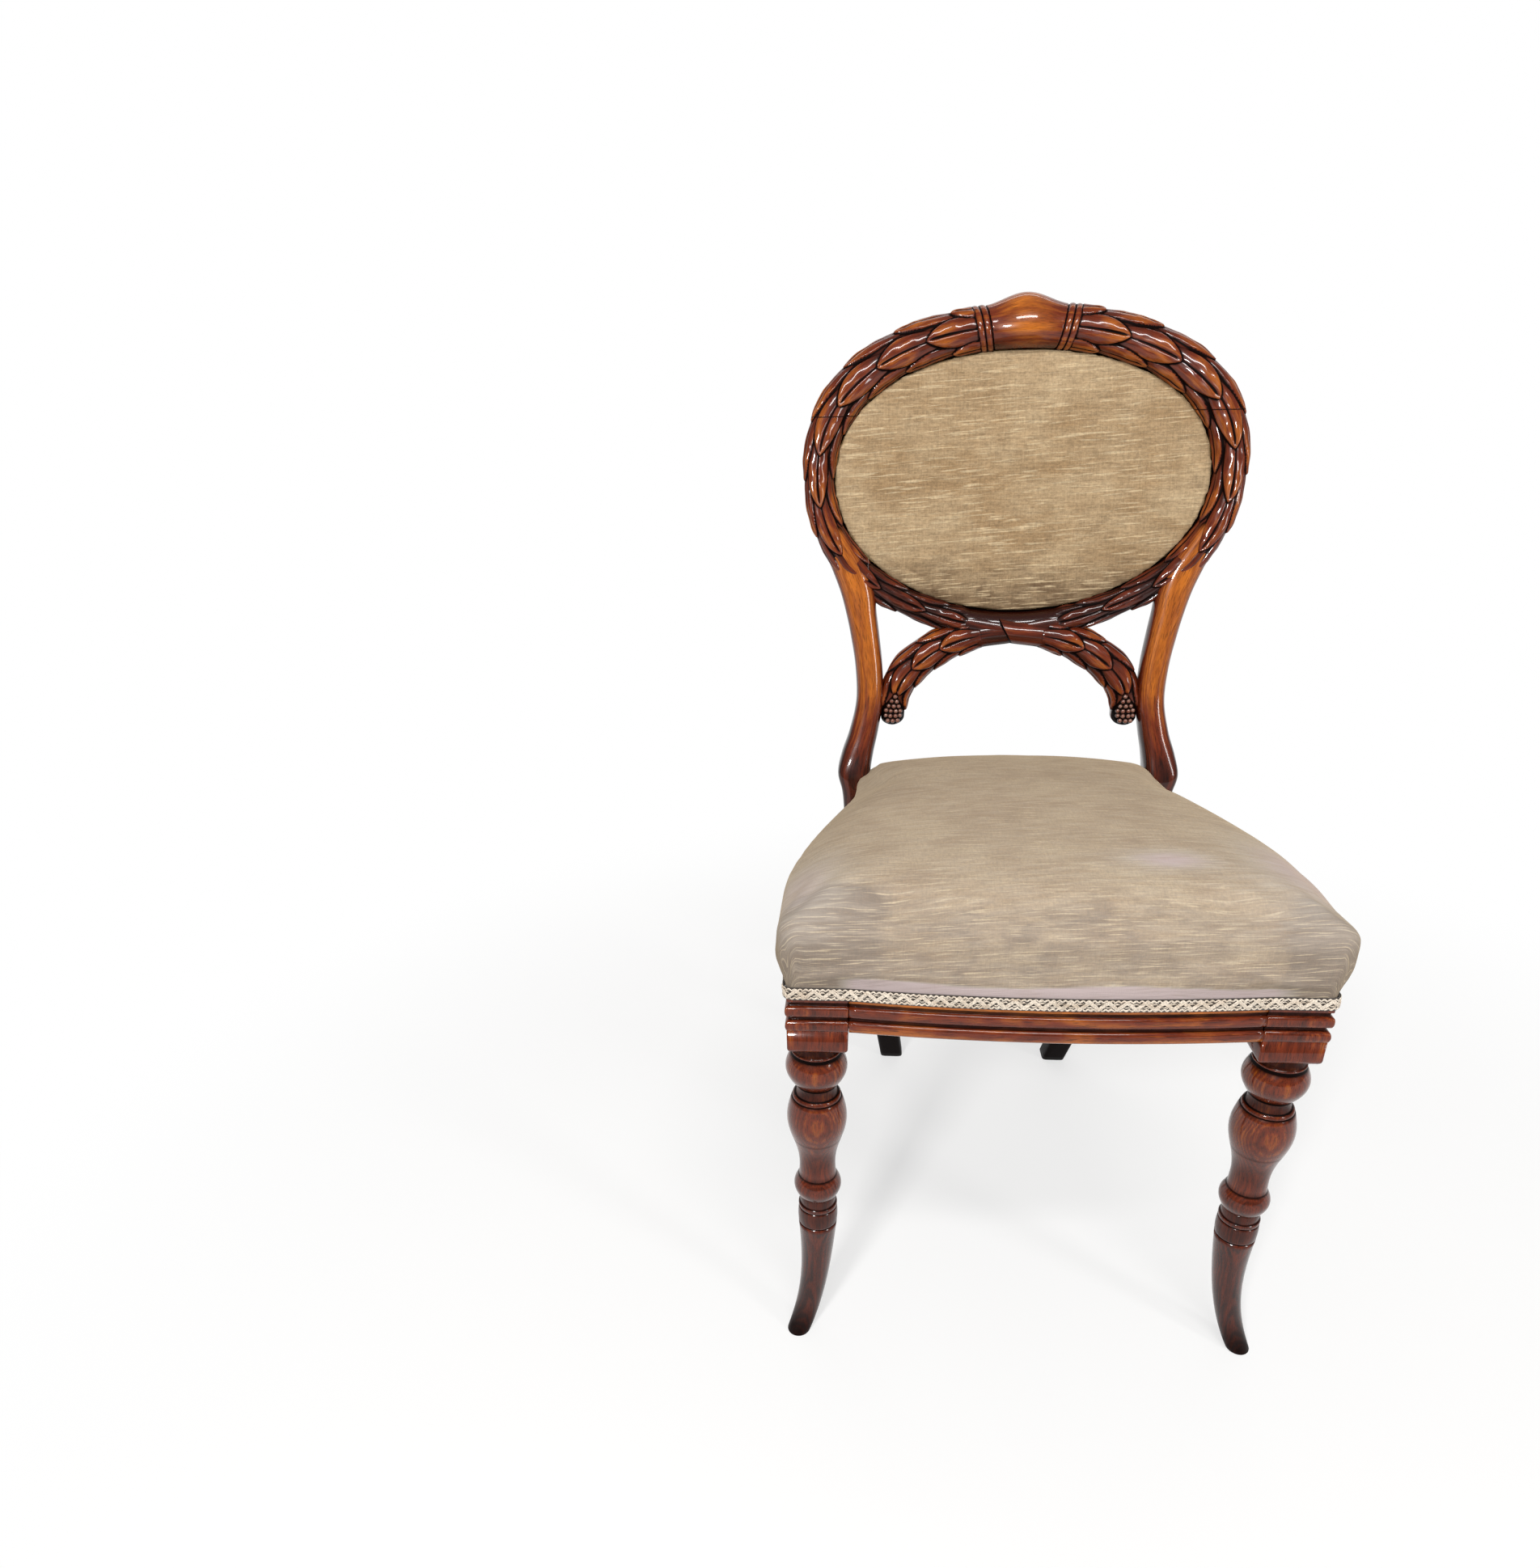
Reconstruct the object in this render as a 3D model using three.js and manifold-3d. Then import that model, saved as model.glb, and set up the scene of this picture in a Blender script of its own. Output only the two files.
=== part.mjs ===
// Balloon back dining chair: oval upholstered back in a carved laurel wreath, stuffed over seat.
// Millimetres, +Z up, the chair faces -Y, right is +X as seen from the front.
import * as THREE from 'three';
import { mergeVertices } from 'three/addons/utils/BufferGeometryUtils.js';
import Module from 'manifold-3d';

const wasm = await Module();
wasm.setup();

// Clearances and overruns
const clearance = 0.3;        // between pieces that touch
const overrun = 60;           // how far a cutting body runs past what it cuts
const weldDistance = 0.0001;

// Heights that the rest stands on
const railBottom = 349;
const mouldHeight = 31;
const railHeight = 56;
const railTop = railBottom + railHeight;
const cushionHeight = 100;    // from the tack line over the moulding to the crown
const cushionTop = railBottom + mouldHeight + cushionHeight;

// Back: a plane that leans back and is bowed so that its sides come forward
const rakeHeight = 450;
const backSetback = 372;
const rakeShare = 0.195;      // backward lean per millimetre of height
const backHalfWidth = 215;
const backBow = 28;           // forward bow at the half width

// Oval panel opening
const ovalHalfWidth = 186.5;
const ovalAbove = 115;
const ovalBelow = 130;
const backGap = 118;          // from the seat's crown up to the oval
const ovalHeight = cushionTop + backGap + ovalBelow;   // its widest line
const upperPower = 2.2;
const lowerPower = 2;
const ovalPoints = 30;        // facets round the oval, the same for the wood and the pad

// Wreath round the oval
const bandWidth = 36;
const bandWidthShares = [1, 1.01, 0.98, 0.75, 0.75, 0.61, 0.72];  // from the crest down to the crossing
const bandRiseShare = 0.9;    // carved height over half the width
const bandBack = 10;          // wood behind the springing of the carving
const bandBackChamfer = 3;
const lipReach = 8;           // lip that carries the back pad
const lipFront = 3;
const lipBack = 8;
const jointRiseShare = 0.4956;   // crest rail meets the stiles, over the oval's upper half
const jointHeight = ovalHeight + ovalAbove * jointRiseShare;
const crossJointShare = 0.8033;  // cross rail meets the stiles, over the oval's half width
const crossJoint = ovalHalfWidth * crossJointShare;

// Laurel leaves on the wreath
const leafPitch = 50;
const leafLength = 62;
const leafRise = 2.6;
const leafBury = 2;
const leafSpread = Math.PI * 0.145;  // half angle that a leaf covers on the round
const rowAngle = Math.PI * 0.335;    // turn of the outer and inner rows from the ridge
const firstTip = 98;          // first leaf tip of the ridge row, along the wreath from the crest
const ridgeLeaves = 8;
const flankLeaves = 8;
const leafAlongShares = [0, 0.5, 0.83, 1];
const leafWidthShares = [0.66, 1, 0.62, 0.07];
const leafRiseShares = [0.1, 0.8, 1, 0.5];
// across a leaf: the ridge row has a midrib groove between two raised halves, the others one crown
const ridgeAcrossShares = [-1, -0.5, 0, 0.5, 1];
const ridgeCrownShares = [0.3, 1, 0.62, 1, 0.3];
const flankAcrossShares = [-1, 0, 1];
const flankCrownShares = [0.3, 1, 0.3];

// Crest boss and the reeded ribbons beside it
const bossHalfLength = 29;
const bossLift = 10;
const bossSwell = 5;
const bossProud = 1;          // above the wreath at its two ends
const bossPower = 0.7;
const ribbonStart = 28.5;
const ribbonSlant = 9;
const ribbonTurn = Math.PI * 0.98;   // how far the ribbon wraps round the wreath
const reedWidth = 4.8;
const reedRise = 2.6;
const reedsPerRibbon = 3;
const reedEdgeShare = 0.25;   // depth left of the grooves between the reeds

// Crossed stems and their leaf tails
const stemStart = 64;
const tailReachShare = 0.6488;   // sideways reach of a tail over the oval's half width
const tailReach = ovalHalfWidth * tailReachShare;
const tailClear = 6;          // from the oval's lowest point down to the top of the tails' middle line
const tailTop = ovalHeight - ovalBelow - tailClear;
const tailDrop = 102;
const tailHalfWidth = 17;
const stemLift = 3.5;         // the stem that passes in front stands out by this at the crossing
const tailBackShare = 0.8;    // flat back of a tail over its width
const tailLeafPitch = 34;
const tailLeafLength = 44;
const tailFirstTip = 118;
const tailFlankStep = 10;     // how far the outer and inner rows run ahead of the ridge row
const tailLeaves = 3;
const tailAcrossShares = [-0.53, -0.28, 0, 0.3, 0.555, 0.8, 0.93, 0.985, 1, 1.005];
const tailDownShares = [0.01, 0.055, 0.11, 0.15, 0.23, 0.4, 0.56, 0.72, 0.87, 0.99];
const tailWidthShares = [0.66, 0.72, 0.76, 0.82, 0.94, 1, 0.98, 0.82, 0.72, 0.4];
const berryRadius = 4;
const berryPitch = 7;        // from row to row
const berryRows = 4;
const berryRowCounts = [3, 2];       // in every other row

// Stiles and rear legs, from the wreath down to the floor
const stileDrop = 38;         // from the oval's widest line down to the top of the stile
const stileTop = ovalHeight - stileDrop;
const legTurnOut = 16.5;       // outer edge of the stile where it leaves the wreath, past the oval
const legTurn = ovalHalfWidth + legTurnOut;
const stileDepth = 18.5;      // half the depth at the seat
const rearSweep = 118;        // how far the rear foot stands behind the leg at the seat
const seatLegY = 352;
const seatShare = 0.587;      // height share of the top of the rails
// the same places from the wreath to the floor in each table
const stileHeightShares = [1, 0.962, 0.93, 0.9, 0.87, 0.84, 0.795, 0.745, 0.7, 0.668, 0.639, 0.612, 0.582,
  0.506, 0.36, 0.18, 0];
const stileOuterShares = [1, 0.962, 0.915, 0.875, 0.846, 0.823, 0.797, 0.79, 0.823, 0.861, 0.882, 0.86, 0.85,
  0.838, 0.775, 0.69, 0.606];
const stileInnerShares = [0.89, 0.805, 0.735, 0.702, 0.69, 0.675, 0.656, 0.65, 0.672, 0.695, 0.709, 0.703,
  0.692, 0.66, 0.6, 0.536, 0.463];
const stileDepthShares = [0.5, 0.66, 0.73, 0.76, 0.78, 0.8, 0.81, 0.84, 0.88, 0.94, 1, 1, 1, 1, 0.94, 0.86,
  0.81];
const stileSquareShares = [0, 0, 0, 0, 0, 0, 0, 0, 0, 0.1, 0.4, 0.7, 1, 1, 1, 1, 1];
const legSweepShares = [0, 0.012, 0.17, 0.53, 1];   // the last places of the tables, behind the seat
const sweepBlend = 3;         // places over which the stile leaves the bowed plane of the back
const roundPower = 2.5;
const squarePower = 6;
const stileSides = 12;

// Seat frame
const railThickness = 25;
const frontBow = 9;
const blockSize = 50;
const legAxisX = 185;
const rearShare = 0.8177;     // the side rails' faces where they meet the stiles, over that outer edge
const rearHalfWidth = legTurn * rearShare;
const sideCurveStart = 40;
const sideCurveEnd = 320;
const backRailOut = 14;
const backRailFace = seatLegY + backRailOut;
const backRailThickness = 24;
const coverThickness = 2.2;
const rebate = coverThickness + clearance;    // the upholstery's step above the moulding
const mouldDepth = 3;
const edgeChamfer = 0.5;
const mouldUpShares = [0, 0.16, 0.28, 0.345, 0.44, 0.475, 0.57, 0.69, 0.78, 0.88, 1];
const mouldOutShares = [-0.3, 0.25, 0.1, -1, -1, 0, 0.25, 0.15, -0.7, -0.2, -0.2];
const tenonLength = 18;
const tenonThickness = 9;
const tenonShoulder = 7;
const blockReach = 78;        // leg of the triangular corner blocks
const blockDrop = 4;
const dowelRadius = 4;
const dowelHalfLength = 17;
const dowelSides = 8;

// Front leg
const plinthHeight = 21;      // below the moulding of the block
const plinthBury = 3;
const legHeight = railBottom - plinthHeight;
const plinthHalf = 24.6;
const plinthChamfer = 2.5;
const turningRadius = 26.2;
const turningSides = 12;
const turningOut = 2;         // axis of the turning past the middle of the block, outwards and forwards
const turningLean = 13.8;     // how far the turning leans back over its height
const footKickX = 19;
const footKickY = 21;         // forwards, and sideways by the length above
const footTop = 217;
const footPower = 5;
const soleRound = 1.5;
// each run: where it ends, its radii there, and its belly, outwards or inwards
const turningRuns = [
  { endShare: 0.9756, fromShare: 0.7, toShare: 0.76, bellyShare: -0.02, steps: 1 },
  { endShare: 0.8674, fromShare: 0.76, toShare: 0.69, bellyShare: 0.27, steps: 5 },
  { endShare: 0.8354, fromShare: 0.69, toShare: 0.7, bellyShare: -0.02, steps: 1 },
  { endShare: 0.825, fromShare: 0.78, toShare: 0.8, bellyShare: 0, steps: 1 },
  { endShare: 0.689, fromShare: 0.83, toShare: 0.82, bellyShare: 0.17, steps: 4 },
  { endShare: 0.558, fromShare: 0.82, toShare: 0.63, bellyShare: -0.1, steps: 4 },
  { endShare: 0.4893, fromShare: 0.63, toShare: 0.68, bellyShare: 0.15, steps: 4 },
  { endShare: 0.485, fromShare: 0.58, toShare: 0.58, bellyShare: 0, steps: 1 },
  { endShare: 0.4543, fromShare: 0.61, toShare: 0.61, bellyShare: 0.01, steps: 1 },
  { endShare: 0.4436, fromShare: 0.66, toShare: 0.66, bellyShare: 0, steps: 1 },
  { endShare: 0.4405, fromShare: 0.6, toShare: 0.6, bellyShare: 0, steps: 1 },
  { endShare: 0.3872, fromShare: 0.66, toShare: 0.67, bellyShare: 0.02, steps: 2 },
  { endShare: 0.3841, fromShare: 0.64, toShare: 0.64, bellyShare: 0, steps: 1 },
  { endShare: 0, fromShare: 0.67, toShare: 0.41, bellyShare: -0.04, steps: 8 },
];

// Seat upholstery
const cushionSwell = 7.5;
const cornerRadius = 6;
const gimpHeight = 11;
const gimpThickness = 1.8;
const webbingWidth = 50;
const webbingThickness = 1.8;
const webbingInset = 9;
const webbingSpacing = 94;
const sheetThickness = 1;
const hessianInset = 7;
const bottomInset = 9;
const swellFade = 170;        // length before the stiles over which the side swell fades out
const cushionRear = backRailFace + coverThickness + clearance;
const cushionMiddle = 162;
const cushionRoundShare = 0.95;
const rearCornerReach = 33;   // the corner that the stiles cover, along the side and across the back
const rearCornerAcross = 24;
const swellRiseShares = [0, 0.11, 0.25, 0.4, 0.54, 0.65, 0.735];
const swellOutShares = [0.05, 0.3, 0.65, 0.92, 1, 0.84, 0.25];
const crownFall = 20;         // how much lower the crown lies where it meets the stiles
const crownFallStart = 200;   // and where it begins to fall away to them
const turnInShare = 0.54;     // above it the side turns in to the crown
const crownScaleShares = [0.92, 0.7, 0.36];
const crownRiseShares = [0.83, 0.94, 0.995];

// Back upholstery
const backCrown = 15;
const backCoverThickness = 1.6;
const backEdge = 1.5;
const padInset = 1.6;         // between the pad's edge and the carved wood round it
const backPadScaleShares = [1, 0.95, 0.8, 0.45];
const backSheetScaleShares = [0.6, 0.999];

// Colours and finishes
const wood = { color: '#8c4a20', roughness: 0.38, metalness: 0 };
const darkWood = { color: '#5a2c16', roughness: 0.45, metalness: 0 };
const innerWood = { color: '#b58a5c', roughness: 0.7, metalness: 0 };
const velvet = { color: '#b7a486', roughness: 0.85, metalness: 0 };
const braid = { color: '#cfc0a8', roughness: 0.8, metalness: 0 };
const filling = { color: '#d8cfc0', roughness: 0.95, metalness: 0 };
const jute = { color: '#a98c62', roughness: 0.95, metalness: 0 };
const blackCloth = { color: '#26231f', roughness: 0.95, metalness: 0 };

// Helpers for bodies
const vec = (x, y, z) => new THREE.Vector3(x, y, z);
const lerp = THREE.MathUtils.lerp;

function outward(geometry) {
  const p = geometry.attributes.position, index = geometry.index.array;
  const a = vec(), b = vec(), c = vec();
  let volume = 0;
  for (let i = 0; i < index.length; i += 3) {
    a.fromBufferAttribute(p, index[i]);
    b.fromBufferAttribute(p, index[i + 1]);
    c.fromBufferAttribute(p, index[i + 2]);
    volume += a.dot(b.cross(c));
  }
  if (volume < 0) for (let i = 0; i < index.length; i += 3) {
    [index[i + 1], index[i + 2]] = [index[i + 2], index[i + 1]];
  }
  return geometry;
}

function meshGeometry(points, index) {
  const geometry = new THREE.BufferGeometry();
  geometry.setAttribute('position', new THREE.Float32BufferAttribute(points, 3));
  geometry.setIndex(new THREE.Uint32BufferAttribute(index, 1));
  return geometry;
}

// A skin over rings of points; open ends are closed flat, a loop joins its last ring to its first.
function loft(rings, loop = false) {
  const sides = rings[0].length, points = [], index = [];
  for (const ring of rings) for (const p of ring) points.push(p.x, p.y, p.z);
  const spans = loop ? rings.length : rings.length - 1;
  for (let i = 0; i < spans; i++) for (let j = 0; j < sides; j++) {
    const a = i * sides + j, b = i * sides + (j + 1) % sides;
    const next = ((i + 1) % rings.length) * sides;
    const c = next + (j + 1) % sides, d = next + j;
    index.push(a, b, c, a, c, d);
  }
  if (!loop) for (const i of [0, rings.length - 1]) {
    const middle = rings[i].reduce((sum, p) => sum.add(p), vec()).divideScalar(sides);
    const centre = points.push(middle.x, middle.y, middle.z) / 3 - 1;
    for (let j = 0; j < sides; j++) {
      const a = i * sides + j, b = i * sides + (j + 1) % sides;
      if (i === 0) index.push(centre, b, a); else index.push(centre, a, b);
    }
  }
  return outward(meshGeometry(points, index));
}

function welded(geometry) {
  const bare = geometry.clone();
  bare.deleteAttribute('normal');
  bare.deleteAttribute('uv');
  return mergeVertices(bare, weldDistance);
}

function body(geometry) {
  const closed = welded(geometry);
  return new wasm.Manifold(new wasm.Mesh({
    numProp: 3,
    vertProperties: new Float32Array(closed.attributes.position.array),
    triVerts: new Uint32Array(closed.index.array),
  }));
}

function shape(manifold) {
  const mesh = manifold.getMesh();
  return meshGeometry(Array.from(mesh.vertProperties), Array.from(mesh.triVerts));
}

function box(x0, x1, y0, y1, z0, z1) {
  const geometry = new THREE.BoxGeometry(x1 - x0, y1 - y0, z1 - z0);
  geometry.translate((x0 + x1) / 2, (y0 + y1) / 2, (z0 + z1) / 2);
  return geometry;
}

function grownBox(size, by) {
  return box(size.x0 - by, size.x1 + by, size.y0 - by, size.y1 + by, size.z0 - by, size.z1 + by);
}

function mirrored(geometry) {
  const copy = welded(geometry);
  copy.scale(-1, 1, 1);
  return outward(copy);
}

function joined(first, others) {
  return others.reduce((sum, geometry) => sum.add(body(geometry)), first);
}

// Values between the entries of a table, on a smooth curve through them
function smoothAt(table, place) {
  const last = table.length - 1;
  const i = Math.min(Math.floor(place), last - 1), t = place - i;
  const before = table[Math.max(i - 1, 0)], after = table[Math.min(i + 2, last)];
  const slope0 = (table[i + 1] - before) / 2, slope1 = (after - table[i]) / 2;
  const t2 = t * t, t3 = t2 * t;
  return (2 * t3 - 3 * t2 + 1) * table[i] + (t3 - 2 * t2 + t) * slope0
    + (3 * t2 - 2 * t3) * table[i + 1] + (t3 - t2) * slope1;
}

function straightAt(stations, values, x) {
  let i = 0;
  while (i < stations.length - 2 && x > stations[i + 1]) i++;
  return lerp(values[i], values[i + 1], (x - stations[i]) / (stations[i + 1] - stations[i]));
}

// The bowed and raked back
function backY(x, z) {
  return backSetback + rakeShare * (z - rakeHeight) - backBow * (x / backHalfWidth) ** 2;
}

function onBack(x, z, behind) {
  return vec(x, backY(x, z) + behind, z);
}

// The oval opening, turn 0 at the crest, half a circle at the crossing
function ovalPoint(turn) {
  const s = Math.sin(turn), c = Math.cos(turn);
  const power = 2 / (c > 0 ? upperPower : lowerPower);
  const reach = c > 0 ? ovalAbove : ovalBelow;
  return {
    x: ovalHalfWidth * Math.sign(s) * Math.abs(s) ** power,
    z: ovalHeight + reach * Math.sign(c) * Math.abs(c) ** power,
  };
}

const turnStep = Math.PI / 2000;

// The wreath's centre line, its outward direction and its half width at a turn
function bandAt(turn) {
  const p = ovalPoint(turn), a = ovalPoint(turn - turnStep), b = ovalPoint(turn + turnStep);
  const along = new THREE.Vector2(b.x - a.x, b.z - a.z).normalize();
  const out = new THREE.Vector2(-along.y, along.x);
  const down = Math.abs(Math.atan2(Math.sin(turn), Math.cos(turn))) / Math.PI;
  const half = bandWidth * smoothAt(bandWidthShares, down * (bandWidthShares.length - 1)) / 2;
  return { x: p.x + out.x * half, z: p.z + out.y * half, out, half, rise: half * bandRiseShare };
}

// Lengths along the centre line, from the crest down the right side
const lengthSamples = 400;
const bandLengths = [0];
for (let i = 1; i <= lengthSamples; i++) {
  const a = bandAt(Math.PI * (i - 1) / lengthSamples), b = bandAt(Math.PI * i / lengthSamples);
  bandLengths.push(bandLengths[i - 1] + Math.hypot(b.x - a.x, b.z - a.z));
}

function turnAt(length) {
  const l = Math.abs(length);
  let i = 1;
  while (i < lengthSamples && bandLengths[i] < l) i++;
  const t = (l - bandLengths[i - 1]) / (bandLengths[i] - bandLengths[i - 1]);
  return Math.sign(length) * Math.PI * (i - 1 + t) / lengthSamples;
}

// A point on the half round front of the wreath: along it, round it from its ridge, and above it
function onBand(length, round, above) {
  const f = bandAt(turnAt(length));
  const across = (f.half + above) * Math.sin(round);
  return onBack(f.x + f.out.x * across, f.z + f.out.y * across, -(f.rise + above) * Math.cos(round));
}

function bandSection(turn, frontPoints) {
  const f = bandAt(turn), ring = [];
  const at = (across, behind) => onBack(f.x + f.out.x * across, f.z + f.out.y * across, behind);
  for (let i = 0; i < frontPoints; i++) {
    const round = Math.PI * (i / (frontPoints - 1) - 0.5);
    ring.push(at(f.half * Math.sin(round), -f.rise * Math.cos(round)));
  }
  ring.push(at(f.half, bandBack - bandBackChamfer), at(f.half - bandBackChamfer, bandBack));
  ring.push(at(-f.half, bandBack), at(-f.half, lipBack), at(-f.half - lipReach, lipBack));
  ring.push(at(-f.half - lipReach, lipFront), at(-f.half, lipFront));
  return ring;
}

function band() {
  const frontPoints = 5, rings = [];
  for (let i = 0; i < ovalPoints; i++) {
    rings.push(bandSection(2 * Math.PI * (i + 0.5) / ovalPoints, frontPoints));
  }
  return loft(rings, true);
}

// A laurel leaf wrapped on a round, its tip raised over what comes next
function leaf(on, tip, length, round, rise) {
  const acrossShares = round === 0 ? ridgeAcrossShares : flankAcrossShares;
  const crownShares = round === 0 ? ridgeCrownShares : flankCrownShares;
  const rings = leafAlongShares.map((share, i) => {
    const place = tip - length * (1 - share), spread = leafSpread * leafWidthShares[i];
    const top = acrossShares.map((across, k) => on(place, round + across * spread,
      rise * leafRiseShares[i] * crownShares[k]));
    const under = [1, -1].map((across) => on(place, round + across * spread, -leafBury));
    return [...top, ...under];
  });
  return loft(rings);
}

function wreathLeaves() {
  const leaves = [];
  for (let i = 0; i < ridgeLeaves; i++) {
    leaves.push(leaf(onBand, firstTip + i * leafPitch, leafLength, 0, leafRise));
  }
  for (const side of [-1, 1]) for (let i = 0; i < flankLeaves; i++) {
    const tip = firstTip + (i - 0.5) * leafPitch;
    leaves.push(leaf(onBand, tip, Math.min(leafLength, tip - ribbonStart), side * rowAngle, leafRise));
  }
  return leaves;
}

// The plain boss at the crest, swelling above the outline
function crestBoss() {
  const rings = [], stations = 7, frontPoints = 6;
  for (let i = 0; i < stations; i++) {
    const share = 2 * i / (stations - 1) - 1;
    const f = bandAt(turnAt(share * bossHalfLength));
    const swell = Math.cos(share * Math.PI / 2) ** bossPower;
    const inner = -f.half, outer = f.half + bossProud + bossLift * swell, ring = [];
    for (let k = 0; k < frontPoints; k++) {
      const round = Math.PI * (k / (frontPoints - 1) - 0.5);
      const across = lerp(inner, outer, (Math.sin(round) + 1) / 2);
      const rise = (f.rise + bossProud + bossSwell * swell) * Math.cos(round);
      ring.push(onBack(f.x + f.out.x * across, f.z + f.out.y * across, -rise));
    }
    for (const across of [outer, outer - bandBackChamfer, inner + bandBackChamfer, inner]) {
      const back = across === outer || across === inner ? bandBack - bandBackChamfer : bandBack;
      const depth = across === inner ? lipFront : back;
      ring.push(onBack(f.x + f.out.x * across, f.z + f.out.y * across, depth));
    }
    rings.push(ring);
  }
  return loft(rings);
}

// Reeds side by side over the round, as one band that slants outwards as it rises
function ribbon() {
  const rings = [], stations = 5, section = [{ along: 0, above: -leafBury }];
  for (let i = 0; i < reedsPerRibbon; i++) {
    section.push({ along: i * reedWidth, above: reedRise * reedEdgeShare });
    section.push({ along: (i + 0.5) * reedWidth, above: reedRise });
  }
  section.push({ along: reedsPerRibbon * reedWidth, above: reedRise * reedEdgeShare });
  section.push({ along: reedsPerRibbon * reedWidth, above: -leafBury });
  for (let i = 0; i < stations; i++) {
    const share = i / (stations - 1), round = ribbonTurn * (share - 0.5);
    rings.push(section.map((p) => onBand(ribbonStart + ribbonSlant * share + p.along, round, p.above)));
  }
  return loft(rings);
}

// A stem and its tail, from where it leaves one side of the wreath to its end on the other
const tailPoints = tailAcrossShares.map((share, i) => {
  return vec(tailReach * share, 0, tailTop - tailDrop * tailDownShares[i]);
});
const tailCurve = new THREE.CatmullRomCurve3(tailPoints, false, 'centripetal');
const tailLength = tailCurve.getLength();

function tailAt(length) {
  const share = THREE.MathUtils.clamp(length / tailLength, 0, 1);
  const p = tailCurve.getPointAt(share), along = tailCurve.getTangentAt(share);
  const place = tailCurve.getUtoTmapping(share) * (tailPoints.length - 1);
  const half = tailHalfWidth * smoothAt(tailWidthShares, place);
  return { x: p.x, z: p.z, outX: -along.z, outZ: along.x, half, rise: half * bandRiseShare, share };
}

function onTail(length, round, above) {
  const f = tailAt(length), across = (f.half + above) * Math.sin(round);
  return onBack(f.x + f.outX * across, f.z + f.outZ * across, -(f.rise + above) * Math.cos(round));
}

function tail(lift) {
  const rings = [], stations = 11, frontPoints = 5;
  for (let i = 0; i < stations; i++) {
    const f = tailAt(tailLength * i / (stations - 1)), ring = [];
    const raised = lift * Math.sqrt(Math.max(0, 1 - Math.abs(f.x) / stemStart));
    const at = (across, behind) => onBack(f.x + f.outX * across, f.z + f.outZ * across, behind);
    for (let k = 0; k < frontPoints; k++) {
      const round = Math.PI * (k / (frontPoints - 1) - 0.5);
      ring.push(at(f.half * Math.sin(round), -(f.rise + raised) * Math.cos(round)));
    }
    ring.push(at(f.half, bandBack - bandBackChamfer), at(f.half * tailBackShare, bandBack));
    ring.push(at(-f.half * tailBackShare, bandBack), at(-f.half, bandBack - bandBackChamfer));
    rings.push(ring);
  }
  return loft(rings);
}

function tailCarving() {
  const pieces = [];
  for (let i = 0; i < tailLeaves; i++) {
    const tip = tailFirstTip + i * tailLeafPitch;
    pieces.push(leaf(onTail, tip, tailLeafLength, 0, leafRise));
    for (const side of [-1, 1]) {
      pieces.push(leaf(onTail, tip + tailFlankStep, tailLeafLength, side * rowAngle, leafRise));
    }
  }
  for (let row = 0; row < berryRows; row++) {
    const along = tailLength - (berryRows - row) * berryPitch;
    const count = berryRowCounts[row % berryRowCounts.length];
    for (let i = 0; i < count; i++) {
      const round = (i - (count - 1) / 2) * 2 * berryRadius / tailAt(along).half;
      const berry = welded(new THREE.IcosahedronGeometry(berryRadius, 0));
      const centre = onTail(along, round, 0);
      berry.translate(centre.x, centre.y, centre.z);
      pieces.push(berry);
    }
  }
  return pieces;
}

// Stile and rear leg in one, seen from the front by its two edges
const stileSpans = stileHeightShares.length - 1;
const firstSwept = stileHeightShares.length - legSweepShares.length;

// Heights above the seat follow the oval, and those below it the rails
function stileZ(place) {
  const share = smoothAt(stileHeightShares, place);
  if (share < seatShare) return railTop * share / seatShare;
  return lerp(railTop, stileTop, (share - seatShare) / (1 - seatShare));
}

function stile(grow) {
  const rings = [], steps = 20;
  for (let i = 0; i <= steps; i++) {
    const place = stileSpans * i / steps;
    const z = stileZ(place);
    const outer = legTurn * smoothAt(stileOuterShares, place) + grow;
    const inner = legTurn * smoothAt(stileInnerShares, place) - grow;
    const x = (outer + inner) / 2, halfWidth = (outer - inner) / 2;
    const depth = stileDepth * smoothAt(stileDepthShares, place) + grow;
    const swept = seatLegY + rearSweep * smoothAt(legSweepShares, Math.max(place - firstSwept, 0));
    const blend = THREE.MathUtils.smoothstep(place, firstSwept - sweepBlend, firstSwept);
    const y = lerp(backY(x, z), swept, blend);
    const square = THREE.MathUtils.clamp(smoothAt(stileSquareShares, place), 0, 1);
    const power = 2 / lerp(roundPower, squarePower, square), ring = [];
    for (let k = 0; k < stileSides; k++) {
      const angle = 2 * Math.PI * (k + 0.5) / stileSides, c = Math.cos(angle), s = Math.sin(angle);
      ring.push(vec(x + halfWidth * Math.sign(c) * Math.abs(c) ** power,
        y + depth * Math.sign(s) * Math.abs(s) ** power, z));
    }
    rings.push(ring);
  }
  return loft(rings);
}

const stileBody = body(stile(0));
const stileSpace = body(stile(clearance));
const stileSpaces = [stileSpace, body(mirrored(stile(clearance)))];

function clearOfStiles(manifold) {
  return stileSpaces.reduce((rest, space) => rest.subtract(space), manifold);
}

// Joints of the back
const crestDowelX = sideCentre(jointHeight);
const crossDowelZ = lowerCentre(crossJoint);

function sideCentre(z) {
  let turn = Math.PI / 4;
  while (bandAt(turn).z > z) turn += turnStep;
  return bandAt(turn).x;
}

function lowerCentre(x) {
  let turn = Math.PI / 2;
  while (bandAt(turn).x > x) turn += turnStep;
  return bandAt(turn).z;
}

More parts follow.
